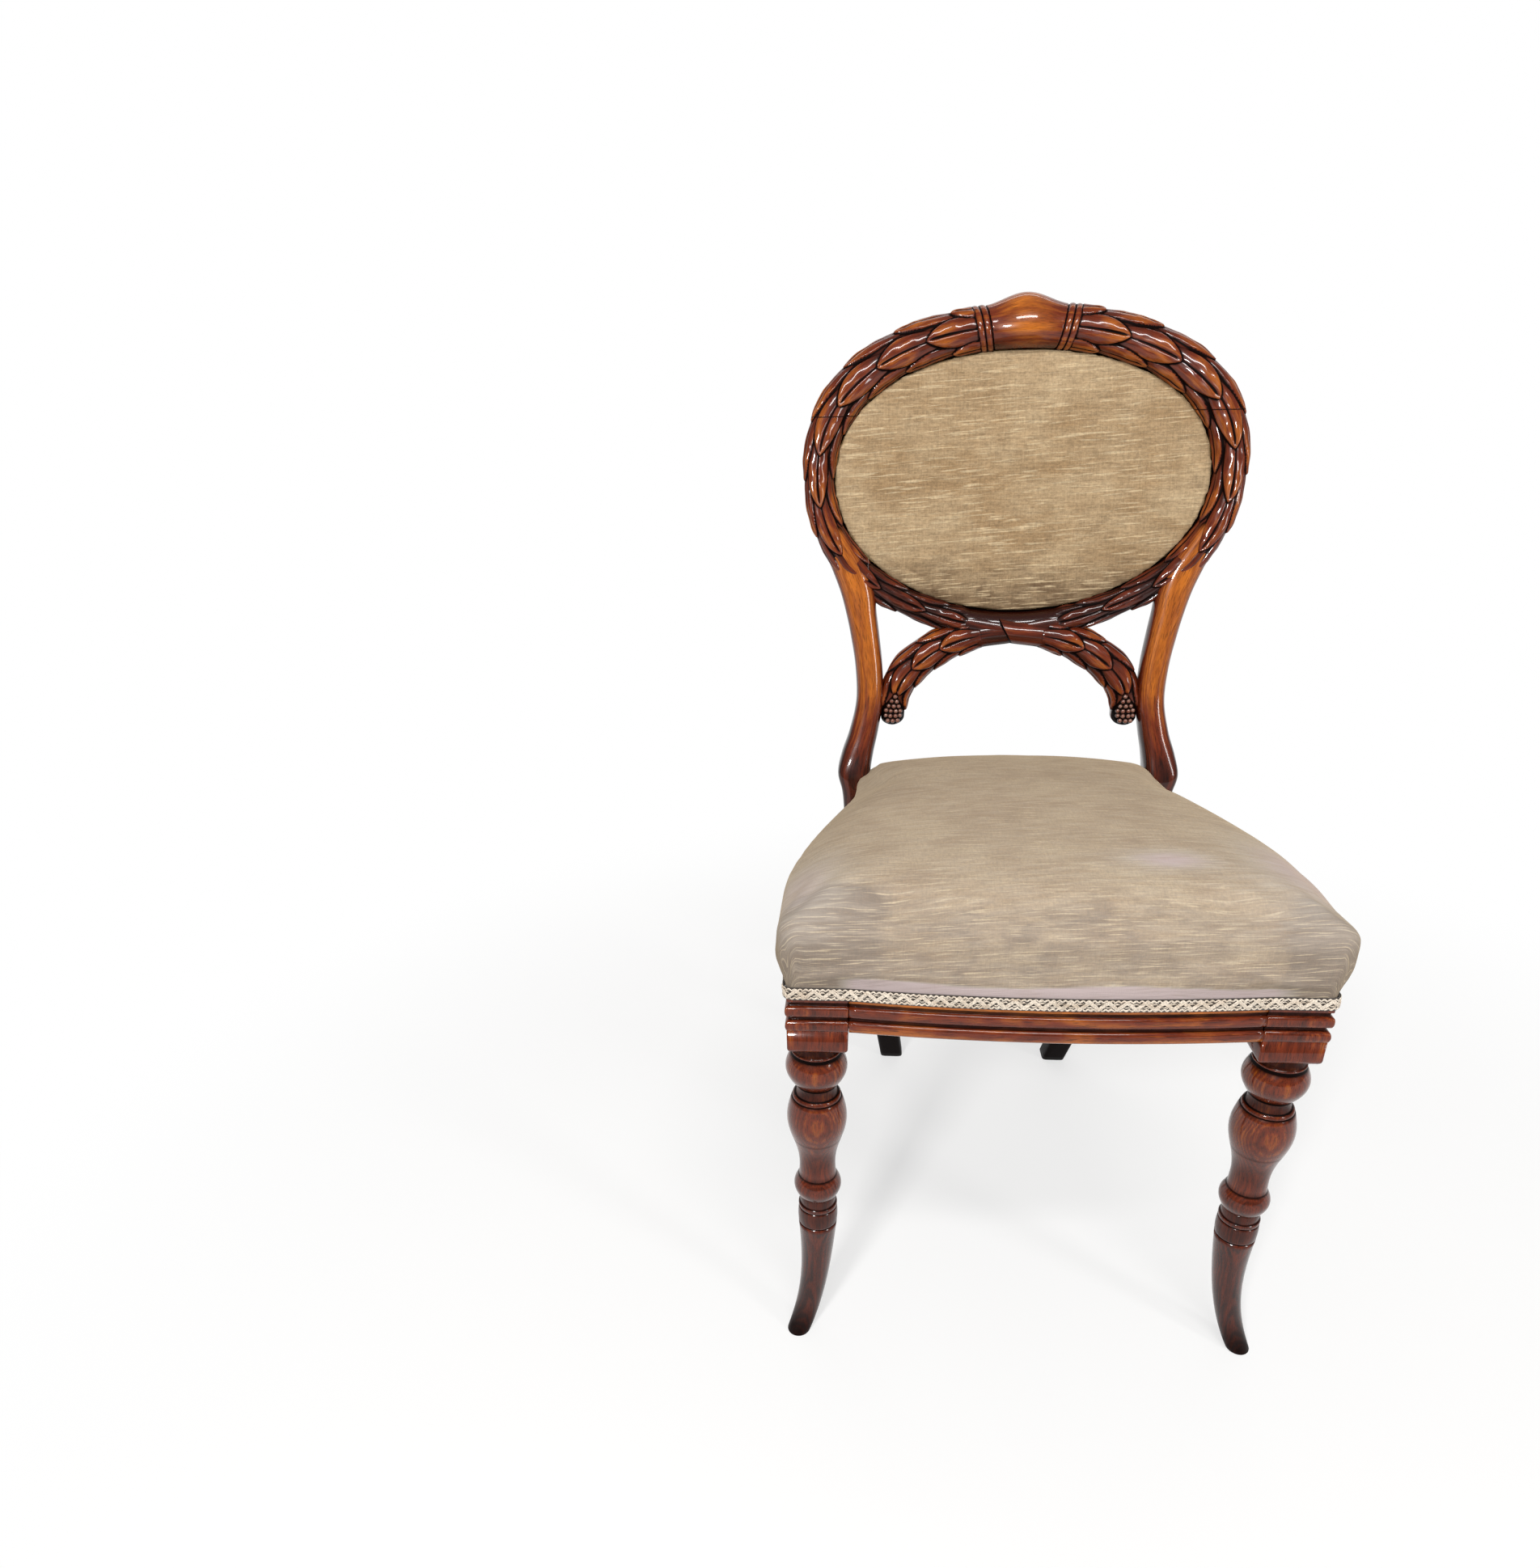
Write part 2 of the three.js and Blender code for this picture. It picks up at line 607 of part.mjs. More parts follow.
function dowel(radius, halfLength, alongX, centre) {
  const pin = new THREE.CylinderGeometry(radius, radius, 2 * halfLength, dowelSides);
  if (alongX) pin.rotateZ(Math.PI / 2); else pin.rotateX(Math.PI / 2);
  pin.translate(centre.x, centre.y, centre.z);
  return pin;
}

const crestDowelCentre = onBack(crestDowelX, jointHeight, 0);
const crossDowelCentre = onBack(crossJoint, crossDowelZ, 0);

function backDowels(grow) {
  return [
    dowel(dowelRadius + grow, dowelHalfLength + grow, false, crestDowelCentre),
    dowel(dowelRadius + grow, dowelHalfLength + grow, true, crossDowelCentre),
  ];
}

function withoutDowels(manifold) {
  const holes = backDowels(clearance);
  return [...holes, ...holes.map(mirrored)].reduce((rest, hole) => rest.subtract(body(hole)), manifold);
}

// Moulding of the rails and leg blocks, as distance out of the face against height
const frontFaceY = -blockSize / 2;
const frontHalfWidth = legAxisX + blockSize / 2;
const frontRailHalf = legAxisX - blockSize / 2;
const tackHeight = railBottom + mouldHeight + clearance;
const mouldLevels = mouldUpShares.map((share) => railBottom + mouldHeight * share);

function frontFace(x) {
  const share = Math.min(Math.abs(x) / frontRailHalf, 1);
  return frontFaceY - frontBow * (1 - share ** 2);
}

function sideFace(y) {
  return lerp(frontHalfWidth, rearHalfWidth, THREE.MathUtils.smoothstep(y, sideCurveStart, sideCurveEnd));
}

function mouldedSection() {
  const section = mouldLevels.map((z, i) => ({ out: mouldDepth * mouldOutShares[i], z }));
  section.push({ out: -rebate, z: railBottom + mouldHeight }, { out: -rebate, z: railTop });
  section.push({ out: -railThickness, z: railTop }, { out: -railThickness, z: railBottom });
  return section;
}

function sweptRail(stations, place) {
  return loft(stations.map((along) => mouldedSection().map((p) => place(along, p.out, p.z))));
}

function evenly(from, to, steps) {
  return Array.from({ length: steps + 1 }, (_, i) => lerp(from, to, i / steps));
}

const tenonBottom = railBottom + tenonShoulder;
const tenonTop = railTop - tenonShoulder;
const sideRailFront = blockSize / 2 + clearance;
const frontRailEnd = frontRailHalf - clearance;
const cushionSideEnd = cushionRear - rearCornerReach;
const sideStations = evenly(sideRailFront, cushionSideEnd, 8);   // shared by the rails and the upholstery
const frontTenonY = frontFaceY + railThickness / 2;
const sideTenonX = sideFace(sideRailFront) - railThickness / 2;
const rearTenonX = stileCentre((railBottom + railTop) / 2);
const legFrontY = seatLegY - stileDepth;

function stileCentre(z) {
  let place = 0;
  while (stileZ(place) > z) place += turnStep;
  return legTurn * (smoothAt(stileOuterShares, place) + smoothAt(stileInnerShares, place)) / 2;
}

const tenons = {
  front: { x0: frontRailEnd - tenonLength, x1: frontRailHalf + tenonLength,
    y0: frontTenonY - tenonThickness / 2, y1: frontTenonY + tenonThickness / 2,
    z0: tenonBottom, z1: tenonTop },
  side: { x0: sideTenonX - tenonThickness / 2, x1: sideTenonX + tenonThickness / 2,
    y0: blockSize / 2 - tenonLength, y1: sideRailFront + tenonLength, z0: tenonBottom, z1: tenonTop },
  sideRear: { x0: rearTenonX - tenonThickness / 2, x1: rearTenonX + tenonThickness / 2,
    y0: legFrontY - tenonLength, y1: legFrontY + tenonLength, z0: tenonBottom, z1: tenonTop },
  back: { x0: rearTenonX - stileDepth - tenonLength, x1: rearTenonX,
    y0: backRailFace - backRailThickness / 2, y1: backRailFace - tenonThickness / 2,
    z0: tenonBottom, z1: tenonTop },
};

function withoutTenons(manifold, sizes) {
  return sizes.reduce((rest, tenon) => rest.subtract(body(grownBox(tenon, clearance))), manifold);
}

function frontRail() {
  const stations = evenly(-frontRailEnd, frontRailEnd, 8);
  const rail = body(sweptRail(stations, (x, out, z) => vec(x, frontFace(x) - out, z)));
  const tenon = grownBox(tenons.front, 0);
  return joined(rail, [tenon, mirrored(tenon)]);
}

function sideRail() {
  const rail = body(sweptRail([...sideStations, seatLegY], (y, out, z) => vec(sideFace(y) + out, y, z)));
  return joined(rail.subtract(stileSpace), [grownBox(tenons.side, 0), grownBox(tenons.sideRear, 0)]);
}

function backRail() {
  const rail = body(box(-rearHalfWidth + stileDepth, rearHalfWidth - stileDepth,
    backRailFace - backRailThickness, backRailFace, railBottom, railTop));
  const tenon = grownBox(tenons.back, 0);
  return joined(clearOfStiles(rail), [tenon, mirrored(tenon)]);
}

// Front leg: moulded block and plinth, then the turning with its kicked foot
function squareRing(outX, frontY, half, chamfer, z) {
  const x0 = legAxisX - half, x1 = legAxisX + outX, y0 = -frontY, y1 = half;
  return [vec(x0, y1, z), vec(x0, y0, z), vec(x1 - chamfer, y0, z), vec(x1, y0 + chamfer, z), vec(x1, y1, z)];
}

function legBlock() {
  const half = blockSize / 2, rings = [];
  mouldLevels.forEach((z, i) => {
    const out = mouldDepth * mouldOutShares[i];
    rings.push(squareRing(half + out, half + out, half, edgeChamfer, z));
  });
  const upper = half - rebate;
  rings.push(squareRing(upper, upper, half, cornerRadius, railBottom + mouldHeight));
  rings.push(squareRing(upper, upper, half, cornerRadius, railTop));
  return loft(rings);
}

function plinth() {
  const lower = plinthHalf - plinthChamfer;
  return loft([
    squareRing(lower, lower, lower, edgeChamfer, legHeight),
    squareRing(plinthHalf, plinthHalf, plinthHalf, edgeChamfer, legHeight + 2 * plinthChamfer),
    squareRing(plinthHalf, plinthHalf, plinthHalf, edgeChamfer, railBottom + plinthBury),
  ]);
}

function turnedRing(z, radius) {
  const kick = Math.max(0, (footTop - z) / footTop) ** footPower, ring = [];
  const x = legAxisX + turningOut + footKickX * kick;
  const y = turningLean * (legHeight - z) / legHeight - turningOut - footKickY * kick;
  for (let k = 0; k < turningSides; k++) {
    const angle = 2 * Math.PI * k / turningSides;
    ring.push(vec(x + radius * Math.cos(angle), y + radius * Math.sin(angle), z));
  }
  return ring;
}

function turning() {
  const rings = [turnedRing(legHeight + 2 * plinthChamfer, turningRadius * turningRuns[0].fromShare)];
  let startShare = 1;
  for (const run of turningRuns) {
    for (let i = 0; i <= run.steps; i++) {
      const t = i / run.steps, last = run.endShare === 0 && i === run.steps;
      const radius = lerp(run.fromShare, run.toShare, t) + run.bellyShare * Math.sin(Math.PI * t);
      const z = legHeight * lerp(startShare, run.endShare, t);
      if (last) rings.push(turnedRing(soleRound, turningRadius * radius));
      rings.push(turnedRing(z, turningRadius * radius - (last ? soleRound : 0)));
    }
    startShare = run.endShare;
  }
  // two rings at one height make a square shoulder; equal neighbours are dropped
  return loft(rings.filter((ring, i) => i === 0 || ring[0].distanceTo(rings[i - 1][0]) > weldDistance));
}

function frontLeg() {
  return withoutTenons(joined(body(legBlock()), [plinth(), turning()]), [tenons.front, tenons.side]);
}

// Corner blocks, glued in the angles of the frame
function prism(points, z0, z1) {
  return loft([z0, z1].map((z) => points.map((p) => vec(p.x, p.y, z))));
}

function insideSide(y) {
  return sideFace(y) - railThickness - clearance;
}

function alongSide(from, to) {
  const steps = 4;
  return Array.from({ length: steps + 1 }, (_, i) => {
    const y = lerp(from, to, i / steps);
    return { x: insideSide(y) - clearance, y };
  });
}

function cornerBlockFront() {
  const inner = frontFaceY + railThickness + clearance;
  const post = frontRailHalf - clearance, behind = blockSize / 2 + clearance;
  const end = behind + blockReach / 2;
  const points = [
    { x: insideSide(end) - blockReach, y: inner }, { x: post, y: inner }, { x: post, y: behind },
    ...alongSide(behind, end),
  ];
  return prism(points, railBottom + blockDrop, railTop - blockDrop);
}

function cornerBlockRear() {
  const inner = backRailFace - backRailThickness - clearance, start = inner - blockReach;
  const points = [{ x: insideSide(inner) - blockReach, y: inner }, ...alongSide(start, inner)];
  return shape(body(prism(points, railBottom + blockDrop, railTop - blockDrop)).subtract(stileSpace));
}

// Plan of the seat on the line of the rails' faces, right half from the front to the back
function seatPlan() {
  const half = [], frontSteps = 4, cornerSteps = 2, rearSteps = 3, backSteps = 2;
  const cornerX = frontHalfWidth - cornerRadius, cornerY = frontFaceY + cornerRadius;
  for (const x of evenly(0, frontRailEnd, frontSteps)) half.push({ x, y: frontFace(x) });
  for (let i = 0; i <= cornerSteps; i++) {
    const angle = Math.PI / 2 * i / cornerSteps;
    half.push({ x: cornerX + cornerRadius * Math.sin(angle), y: cornerY - cornerRadius * Math.cos(angle) });
  }
  for (const y of sideStations.slice(0, -1)) half.push({ x: sideFace(y), y });
  const corner = new THREE.QuadraticBezierCurve(new THREE.Vector2(sideFace(cushionSideEnd), cushionSideEnd),
    new THREE.Vector2(sideFace(cushionSideEnd), cushionRear),
    new THREE.Vector2(rearHalfWidth - rearCornerAcross, cushionRear));
  for (const p of corner.getPoints(rearSteps)) half.push({ x: p.x, y: p.y });
  for (let i = 1; i <= backSteps; i++) {
    half.push({ x: (rearHalfWidth - rearCornerAcross) * (1 - i / backSteps), y: cushionRear });
  }
  const other = half.slice(1, -1).reverse().map((p) => ({ x: -p.x, y: p.y }));
  return [...half, ...other];
}

function planNormals(plan) {
  return plan.map((p, i) => {
    const a = plan[(i + plan.length - 1) % plan.length], b = plan[(i + 1) % plan.length];
    return new THREE.Vector2(b.y - a.y, a.x - b.x).normalize();
  });
}

const plan = seatPlan();
const planOut = planNormals(plan);
const swellPart = plan.map((p) => {
  return THREE.MathUtils.smoothstep(-p.y, -cushionSideEnd, swellFade - cushionSideEnd);
});
const cushionRise = cushionTop - tackHeight;
const stuffingBottom = railTop + 2 * webbingThickness + sheetThickness + 4 * clearance;

function planRing(out, z) {
  return plan.map((p, i) => vec(p.x + planOut[i].x * out(i), p.y + planOut[i].y * out(i), z));
}

// Rings of the crown shrink to the middle and turn from the seat's plan to a round one
function towardsMiddle(ring, scale, z) {
  const round = cushionRoundShare * (1 - scale);
  return ring.map((p) => {
    const x = p.x, y = p.y - cushionMiddle, reach = Math.hypot(x, y);
    const even = rearHalfWidth * scale / reach;
    return vec(lerp(x * scale, x * even, round), cushionMiddle + lerp(y * scale, y * even, round), z);
  });
}

// The crown falls away towards its rear corners, where the stiles hold it down
function fallenAway(ring) {
  return ring.map((p) => {
    const side = Math.abs(p.x) / rearHalfWidth;
    const up = Math.max(0, (p.z - stuffingBottom) / (cushionTop - stuffingBottom));
    const back = THREE.MathUtils.smoothstep(p.y, crownFallStart, cushionRear);
    return vec(p.x, p.y, p.z - crownFall * side * side * back * up);
  });
}

// The cushion's skin, drawn in by an inset, from a starting height to its crown
function cushionRings(inset, bottom, every) {
  const rings = [], kept = (value, i) => i % every === 0;
  const rises = swellRiseShares.filter(kept), outs = swellOutShares.filter(kept);
  const ringAt = (riseShare, outShare) => planRing((i) => cushionSwell * outShare * swellPart[i] - inset,
    tackHeight + cushionRise * riseShare - inset * THREE.MathUtils.smoothstep(riseShare, turnInShare, 1));
  if (bottom > tackHeight) {
    const start = (bottom - tackHeight) / cushionRise;
    rings.push(ringAt(start, straightAt(rises, outs, start)));
  }
  rises.forEach((rise, i) => {
    const above = tackHeight + cushionRise * rise > bottom + clearance;
    if (above || bottom <= tackHeight) rings.push(ringAt(rise, outs[i]));
  });
  const shoulder = rings[rings.length - 1];
  crownScaleShares.forEach((scale, i) => {
    const z = tackHeight + cushionRise * crownRiseShares[i] - inset;
    if (kept(scale, i)) rings.push(towardsMiddle(shoulder, scale, z));
  });
  return rings.map(fallenAway);
}

function seatCover() {
  const outer = cushionRings(0, tackHeight, 1), inner = cushionRings(coverThickness, tackHeight, 2);
  const below = planRing((i) => cushionSwell * swellOutShares[0] * swellPart[i] - coverThickness,
    tackHeight - overrun);
  return clearOfStiles(body(loft(outer)).subtract(body(loft([below, ...inner]))));
}

function seatStuffing() {
  return clearOfStiles(body(loft(cushionRings(coverThickness + clearance, stuffingBottom, 2))));
}

// A braid on the cover's lower edge, past the numbered points of the plan
function gimpAlong(order) {
  const face = clearance + gimpThickness;
  const section = [[0, clearance], [gimpHeight, clearance], [gimpHeight, face], [0, face]];
  const rings = order.map((i) => section.map(([up, off]) => {
    const swell = straightAt(swellRiseShares, swellOutShares, up / cushionRise);
    const out = cushionSwell * swell * swellPart[i] + off;
    return vec(plan[i].x + planOut[i].x * out, plan[i].y + planOut[i].y * out, tackHeight + up);
  }));
  return clearOfStiles(body(loft(rings)));
}

// Round the sides and the front, and across the back between the stiles
const sideLast = plan.findIndex((p) => p.y > cushionSideEnd - clearance);
const backFirst = plan.findIndex((p) => p.y > cushionRear - clearance);
const frontOrder = plan.map((p, i) => (i + plan.length - sideLast) % plan.length).slice(0, 2 * sideLast + 1);
const backOrder = plan.map((p, i) => i).slice(backFirst, plan.length - backFirst + 1);

function flatSheet(inset, z, thickness) {
  const rings = [z, z + thickness].map((height) => planRing(() => -inset, height));
  return clearOfStiles(body(loft(rings)));
}

function seatHessian() {
  return flatSheet(hessianInset, railTop + 2 * webbingThickness + 3 * clearance, sheetThickness);
}

function bottomingCloth() {
  const half = blockSize / 2 + clearance;
  const post = body(box(legAxisX - half, legAxisX + half, -half, half, legHeight, railTop));
  const other = body(box(-legAxisX - half, -legAxisX + half, -half, half, legHeight, railTop));
  return flatSheet(bottomInset, railBottom - clearance - sheetThickness, sheetThickness)
    .subtract(post).subtract(other);
}

function webbingLong(x) {
  const z = railTop + clearance;
  return box(x - webbingWidth / 2, x + webbingWidth / 2,
    frontFaceY + webbingInset, backRailFace - webbingInset, z, z + webbingThickness);
}

function webbingCross(y) {
  const z = railTop + 2 * clearance + webbingThickness, half = sideFace(y + webbingWidth / 2) - webbingInset;
  return box(-half, half, y - webbingWidth / 2, y + webbingWidth / 2, z, z + webbingThickness);
}

// Back upholstery, in rings that shrink from the oval's edge to its middle
function ovalRing(scale, inset, behind) {
  return Array.from({ length: ovalPoints }, (_, i) => {
    const turn = 2 * Math.PI * (i + 0.5) / ovalPoints, p = ovalPoint(turn), f = bandAt(turn);
    const x = (p.x - f.out.x * inset) * scale, z = lerp(ovalHeight, p.z - f.out.y * inset, scale);
    return onBack(x, z, behind);
  });
}

const hessianFace = lipFront - clearance - sheetThickness;

function backPad(inset, bottom, crown) {
  const rings = backSheetScaleShares.map((scale) => ovalRing(scale, inset, bottom));
  for (const scale of backPadScaleShares) {
    rings.push(ovalRing(scale, inset, -backEdge - crown * Math.sqrt(1 - scale ** 2)));
  }
  return loft(rings);
}

function backCover() {
  const bottom = hessianFace - clearance;
  const inner = backPad(padInset + backCoverThickness, bottom + overrun, backCrown - backCoverThickness);
  return body(backPad(padInset, bottom, backCrown)).subtract(body(inner));
}

function backStuffing() {
  const under = backCoverThickness + clearance;
  return backPad(padInset + under, hessianFace - clearance, backCrown - under - clearance);
}

function ovalSheet(front) {
  const face = (behind) => backSheetScaleShares.map((scale) => ovalRing(scale, padInset, behind));
  return loft([...face(front), ...face(front + sheetThickness).reverse()]);
}

// Assembly
const chair = new THREE.Group();
chair.name = 'balloon_back_chair';

function place(name, geometry, look) {
  const shown = geometry.isBufferGeometry ? geometry : shape(geometry);
  shown.computeVertexNormals();
  const mesh = new THREE.Mesh(shown, new THREE.MeshStandardMaterial(look));
  mesh.name = name;
  chair.add(mesh);
}

function placePair(name, geometry, look) {
  const right = geometry.isBufferGeometry ? geometry : shape(geometry);
  place(`${name}_right`, right, look);
  place(`${name}_left`, mirrored(right), look);
}

const leaves = wreathLeaves();
const opening = loft([-overrun, hessianFace].map((behind) => ovalRing(1, padInset / 2, behind)));
const openingSpace = body(opening);
const carvedWreath = joined(body(band()), [...leaves, ...leaves.map(mirrored)]);
const farSide = backHalfWidth + overrun, farBack = 2 * backSetback;
const farTop = ovalHeight + ovalAbove + bandWidth + overrun;
const belowJoint = jointHeight - clearance / 2, insideJoint = crossJoint - clearance / 2;

const aboveJoint = body(box(-farSide, farSide, 0, farBack, jointHeight + clearance / 2, farTop));
const sideSpace = body(box(crossJoint + clearance / 2, farSide, 0, farBack, 0, belowJoint));
const middleSpace = body(box(-insideJoint, insideJoint, 0, farBack, 0, belowJoint));

const crest = joined(carvedWreath.intersect(aboveJoint), [crestBoss(), ribbon(), mirrored(ribbon())]);
place('crest_rail', withoutDowels(crest).subtract(openingSpace), wood);

const tailParts = tailCarving();
const cross = joined(carvedWreath.intersect(middleSpace),
  [tail(stemLift), mirrored(tail(0)), ...tailParts, ...tailParts.map(mirrored)]);
place('back_cross_rail', withoutDowels(clearOfStiles(cross)).subtract(openingSpace), wood);

const uncut = carvedWreath.intersect(sideSpace).add(stileBody);
const mortised = withoutTenons(uncut, [tenons.sideRear, tenons.back]);
placePair('rear_leg', withoutDowels(mortised).subtract(openingSpace), wood);
placePair('crest_dowel', backDowels(0)[0], innerWood);
placePair('cross_dowel', backDowels(0)[1], innerWood);

placePair('front_leg', frontLeg(), wood);
place('front_rail', frontRail(), wood);
placePair('side_rail', sideRail(), wood);
place('back_rail', backRail(), darkWood);
placePair('corner_block_front', cornerBlockFront(), innerWood);
placePair('corner_block_rear', cornerBlockRear(), innerWood);

[-1, 0, 1].forEach((step, i) => {
  place(`webbing_long_${i + 1}`, webbingLong(step * webbingSpacing), jute);
  place(`webbing_cross_${i + 1}`, webbingCross(cushionMiddle + step * webbingSpacing), jute);
});
place('seat_hessian', seatHessian(), jute);
place('seat_stuffing', seatStuffing(), filling);
place('seat_cover', seatCover(), velvet);
place('gimp_braid', gimpAlong(frontOrder), braid);
place('gimp_braid_rear', gimpAlong(backOrder), braid);
place('bottoming_cloth', bottomingCloth(), blackCloth);
place('back_hessian', ovalSheet(hessianFace), jute);
place('back_stuffing', backStuffing(), filling);
place('back_cover', backCover(), velvet);
place('outside_back_cloth', ovalSheet(lipBack + clearance), velvet);

// The origin lies under the middle of the chair, on the floor
const size = new THREE.Box3().setFromObject(chair);
chair.position.y = -(size.min.y + size.max.y) / 2;
const group = new THREE.Group();
group.add(chair);
export default group;
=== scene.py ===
"""Balloon back dining chair: carved laurel wreath, turned legs and a stuffed-over velvet seat.

Metres, +Z up; the chair faces -Y and its right side, seen from the front, is +X.
"""

import math

import bmesh
import bpy
import numpy as np
from bpy.props import FloatProperty, FloatVectorProperty, IntProperty, PointerProperty
from mathutils import Matrix, Vector


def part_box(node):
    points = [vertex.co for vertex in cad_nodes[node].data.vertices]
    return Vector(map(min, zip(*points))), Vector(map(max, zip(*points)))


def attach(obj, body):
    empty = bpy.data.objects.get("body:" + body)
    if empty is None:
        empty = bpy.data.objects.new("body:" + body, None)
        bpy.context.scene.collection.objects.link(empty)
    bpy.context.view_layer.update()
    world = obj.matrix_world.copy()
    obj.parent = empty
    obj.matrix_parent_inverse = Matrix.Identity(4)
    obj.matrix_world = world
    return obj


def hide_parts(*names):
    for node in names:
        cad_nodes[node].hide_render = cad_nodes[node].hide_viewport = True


bl_info = {
    "name": "Balloon back chair",
    "version": (1, 0, 0),
    "blender": (4, 5, 0),
    "location": "3D View > Sidebar > Chair",
    "description": "Carved and upholstered dining chair on its packed frame",
    "category": "Object",
}

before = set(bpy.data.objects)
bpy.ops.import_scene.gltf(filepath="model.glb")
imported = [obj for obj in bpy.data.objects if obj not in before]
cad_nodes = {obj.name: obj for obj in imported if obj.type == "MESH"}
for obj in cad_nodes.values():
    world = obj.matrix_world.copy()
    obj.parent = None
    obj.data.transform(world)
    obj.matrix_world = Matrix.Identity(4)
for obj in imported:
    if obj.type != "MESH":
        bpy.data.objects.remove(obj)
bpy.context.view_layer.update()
MM = 0.001
FULL_RECESS = 0.55 * MM      # hollows this deep take the whole stain
# the seat's sizes are counted from the front legs' axes, which stand this far before the middle
LEG_LINE = 0.366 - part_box("back_rail")[1].y


# ---------------------------------------------------------------- colours and settings

def linear(code):
    """sRGB hex colour as linear numbers."""
    values = [int(code[i:i + 2], 16) / 255 for i in (1, 3, 5)]
    return tuple(v / 12.92 if v <= 0.04045 else ((v + 0.055) / 1.055) ** 2.4 for v in values)


def colour(name, description, code):
    return FloatVectorProperty(name=name, description=description, default=linear(code),
                               subtype="COLOR", size=3, min=0, max=1)


def length(name, description, millimetres):
    return FloatProperty(name=name, description=description, default=millimetres * MM,
                         unit="LENGTH", precision=4)


def share(name, description, default):
    return FloatProperty(name=name, description=description, default=default, subtype="FACTOR")


class ChairBack(bpy.types.PropertyGroup):
    """Sizes of the bowed back, its oval and its wreath"""
    rake: share("Rake", "Backward lean over height", 0.195)
    setback: length("Setback", "Back plane behind the front legs' axes at the rake height", 372)
    rake_height: length("Rake height", "Height at which the setback is measured", 450)
    bow: length("Bow", "How far the sides of the back come forward", 28)
    bow_half_width: length("Bow half width", "Half width at which the bow is measured", 215)
    oval_half_width: length("Oval half width", "Half width of the padded oval", 186.5)
    oval_above: length("Oval above", "From the widest line up to the top of the oval", 115)
    oval_below: length("Oval below", "From the widest line down to the bottom of the oval", 130)
    oval_height: length("Oval height", "Height of the oval's widest line", 728)
    wreath_width: length("Wreath width", "Width of the carved band at the crest", 36)
    joint_height: length("Joint height", "Where the crest rail meets the stiles", 785)
    cross_joint: length("Cross joint", "Where the cross rail meets the stiles, from the middle", 149.8)
    leaf_pitch: length("Leaf pitch", "From leaf tip to leaf tip along the wreath", 50)
    leaf_length: length("Leaf length", "Length of a laurel leaf", 62)
    leaf_rise: length("Leaf rise", "Height of a leaf above the round", 3.2)
    reed_width: length("Reed width", "Width of one reed of the ribbons beside the boss", 6.4)
    reed_rise: length("Reed rise", "Height of a reed", 2.6)
    tail_reach: length("Tail reach", "Sideways reach of a leaf tail", 121)
    tail_top: length("Tail top", "Height of the tails' middle line at the crossing", 592)
    tail_drop: length("Tail drop", "Height of a tail", 102)
    tail_half_width: length("Tail half width", "Half the width of a tail at its widest", 17)
    berry_half_width: length("Berry half width", "Half the width of a tail at its berries", 12.5)
    berry_diameter: length("Berry diameter", "Diameter of a laurel berry", 5.4)
    crown: length("Back crown", "How far the padded oval swells", 15)
    turn_out: length("Stile turn", "Outer edge of the stile at the wreath, past the oval", 16.5)
    stile_top: length("Stile top", "Height at which the stile leaves the wreath", 690)
    stile_depth: length("Stile depth", "Half the stile's depth at the seat", 18.5)
    rear_sweep: length("Rear sweep", "How far the rear foot stands behind the leg at the seat", 118)
    rear_leg_line: length("Rear leg line", "Rear legs behind the front legs at the seat", 352)


class ChairSeat(bpy.types.PropertyGroup):
    """Sizes of the seat frame and the upholstery"""
    rail_bottom: length("Rail bottom", "Underside of the rails", 349)
    mould_height: length("Moulding height", "Height of the moulding on the rails", 31)
    rail_top: length("Rail top", "Top of the rails", 405)
    rail_thickness: length("Rail thickness", "Thickness of the rails", 25)
    mould_depth: length("Moulding depth", "Depth of the moulding's hollows", 3)
    rebate: length("Rebate", "Step above the moulding that takes the cloth", 2.5)
    front_bow: length("Front bow", "How far the front rail bows out", 9)
    block: length("Leg block", "Width of the square block of a front leg", 50)
    leg_axis: length("Leg axis", "Axis of a front leg from the middle", 185)
    rear_half_width: length("Rear half width", "Half width of the frame at the stiles", 166)
    cushion_top: length("Cushion top", "Height of the seat's crown", 480)
    fall: length("Crown fall", "How much lower the crown lies where it meets the stiles", 20)
    swell: length("Side swell", "How far the cushion bulges over the rails", 7.5)
    cushion_rear: length("Cushion rear", "Rear edge of the cushion", 368.5)
    braid_height: length("Braid height", "Height of the gimp braid", 11)
    braid_pitch: length("Braid pitch", "Length of one zigzag of the braid", 14)
    cord: length("Braid cord", "Diameter of the braid's cords", 1.35)
    tack_pitch: length("Tack pitch", "Spacing of the tacks under the seat", 36)


class ChairLegs(bpy.types.PropertyGroup):
    """Sizes of the turned front legs"""
    height: length("Turned height", "Floor to the underside of the plinth", 328)
    radius: length("Largest radius", "Largest radius of the turning", 26.2)
    plinth: length("Plinth half width", "Half the width of the plinth", 24.6)
    out: length("Offset", "Axis of the turning past the middle of the block, outwards and forwards", 2)
    lean: length("Lean", "How far the turning leans back over its height", 13.8)
    kick_x: length("Sideways kick", "How far the foot turns out sideways", 19)
    kick_y: length("Forward kick", "How far the foot turns out forwards", 21)
    kick_height: length("Kick height", "Height at which the foot begins to turn out", 217)
    sides: IntProperty(name="Sides", description="Facets round the turning", default=64, min=12)


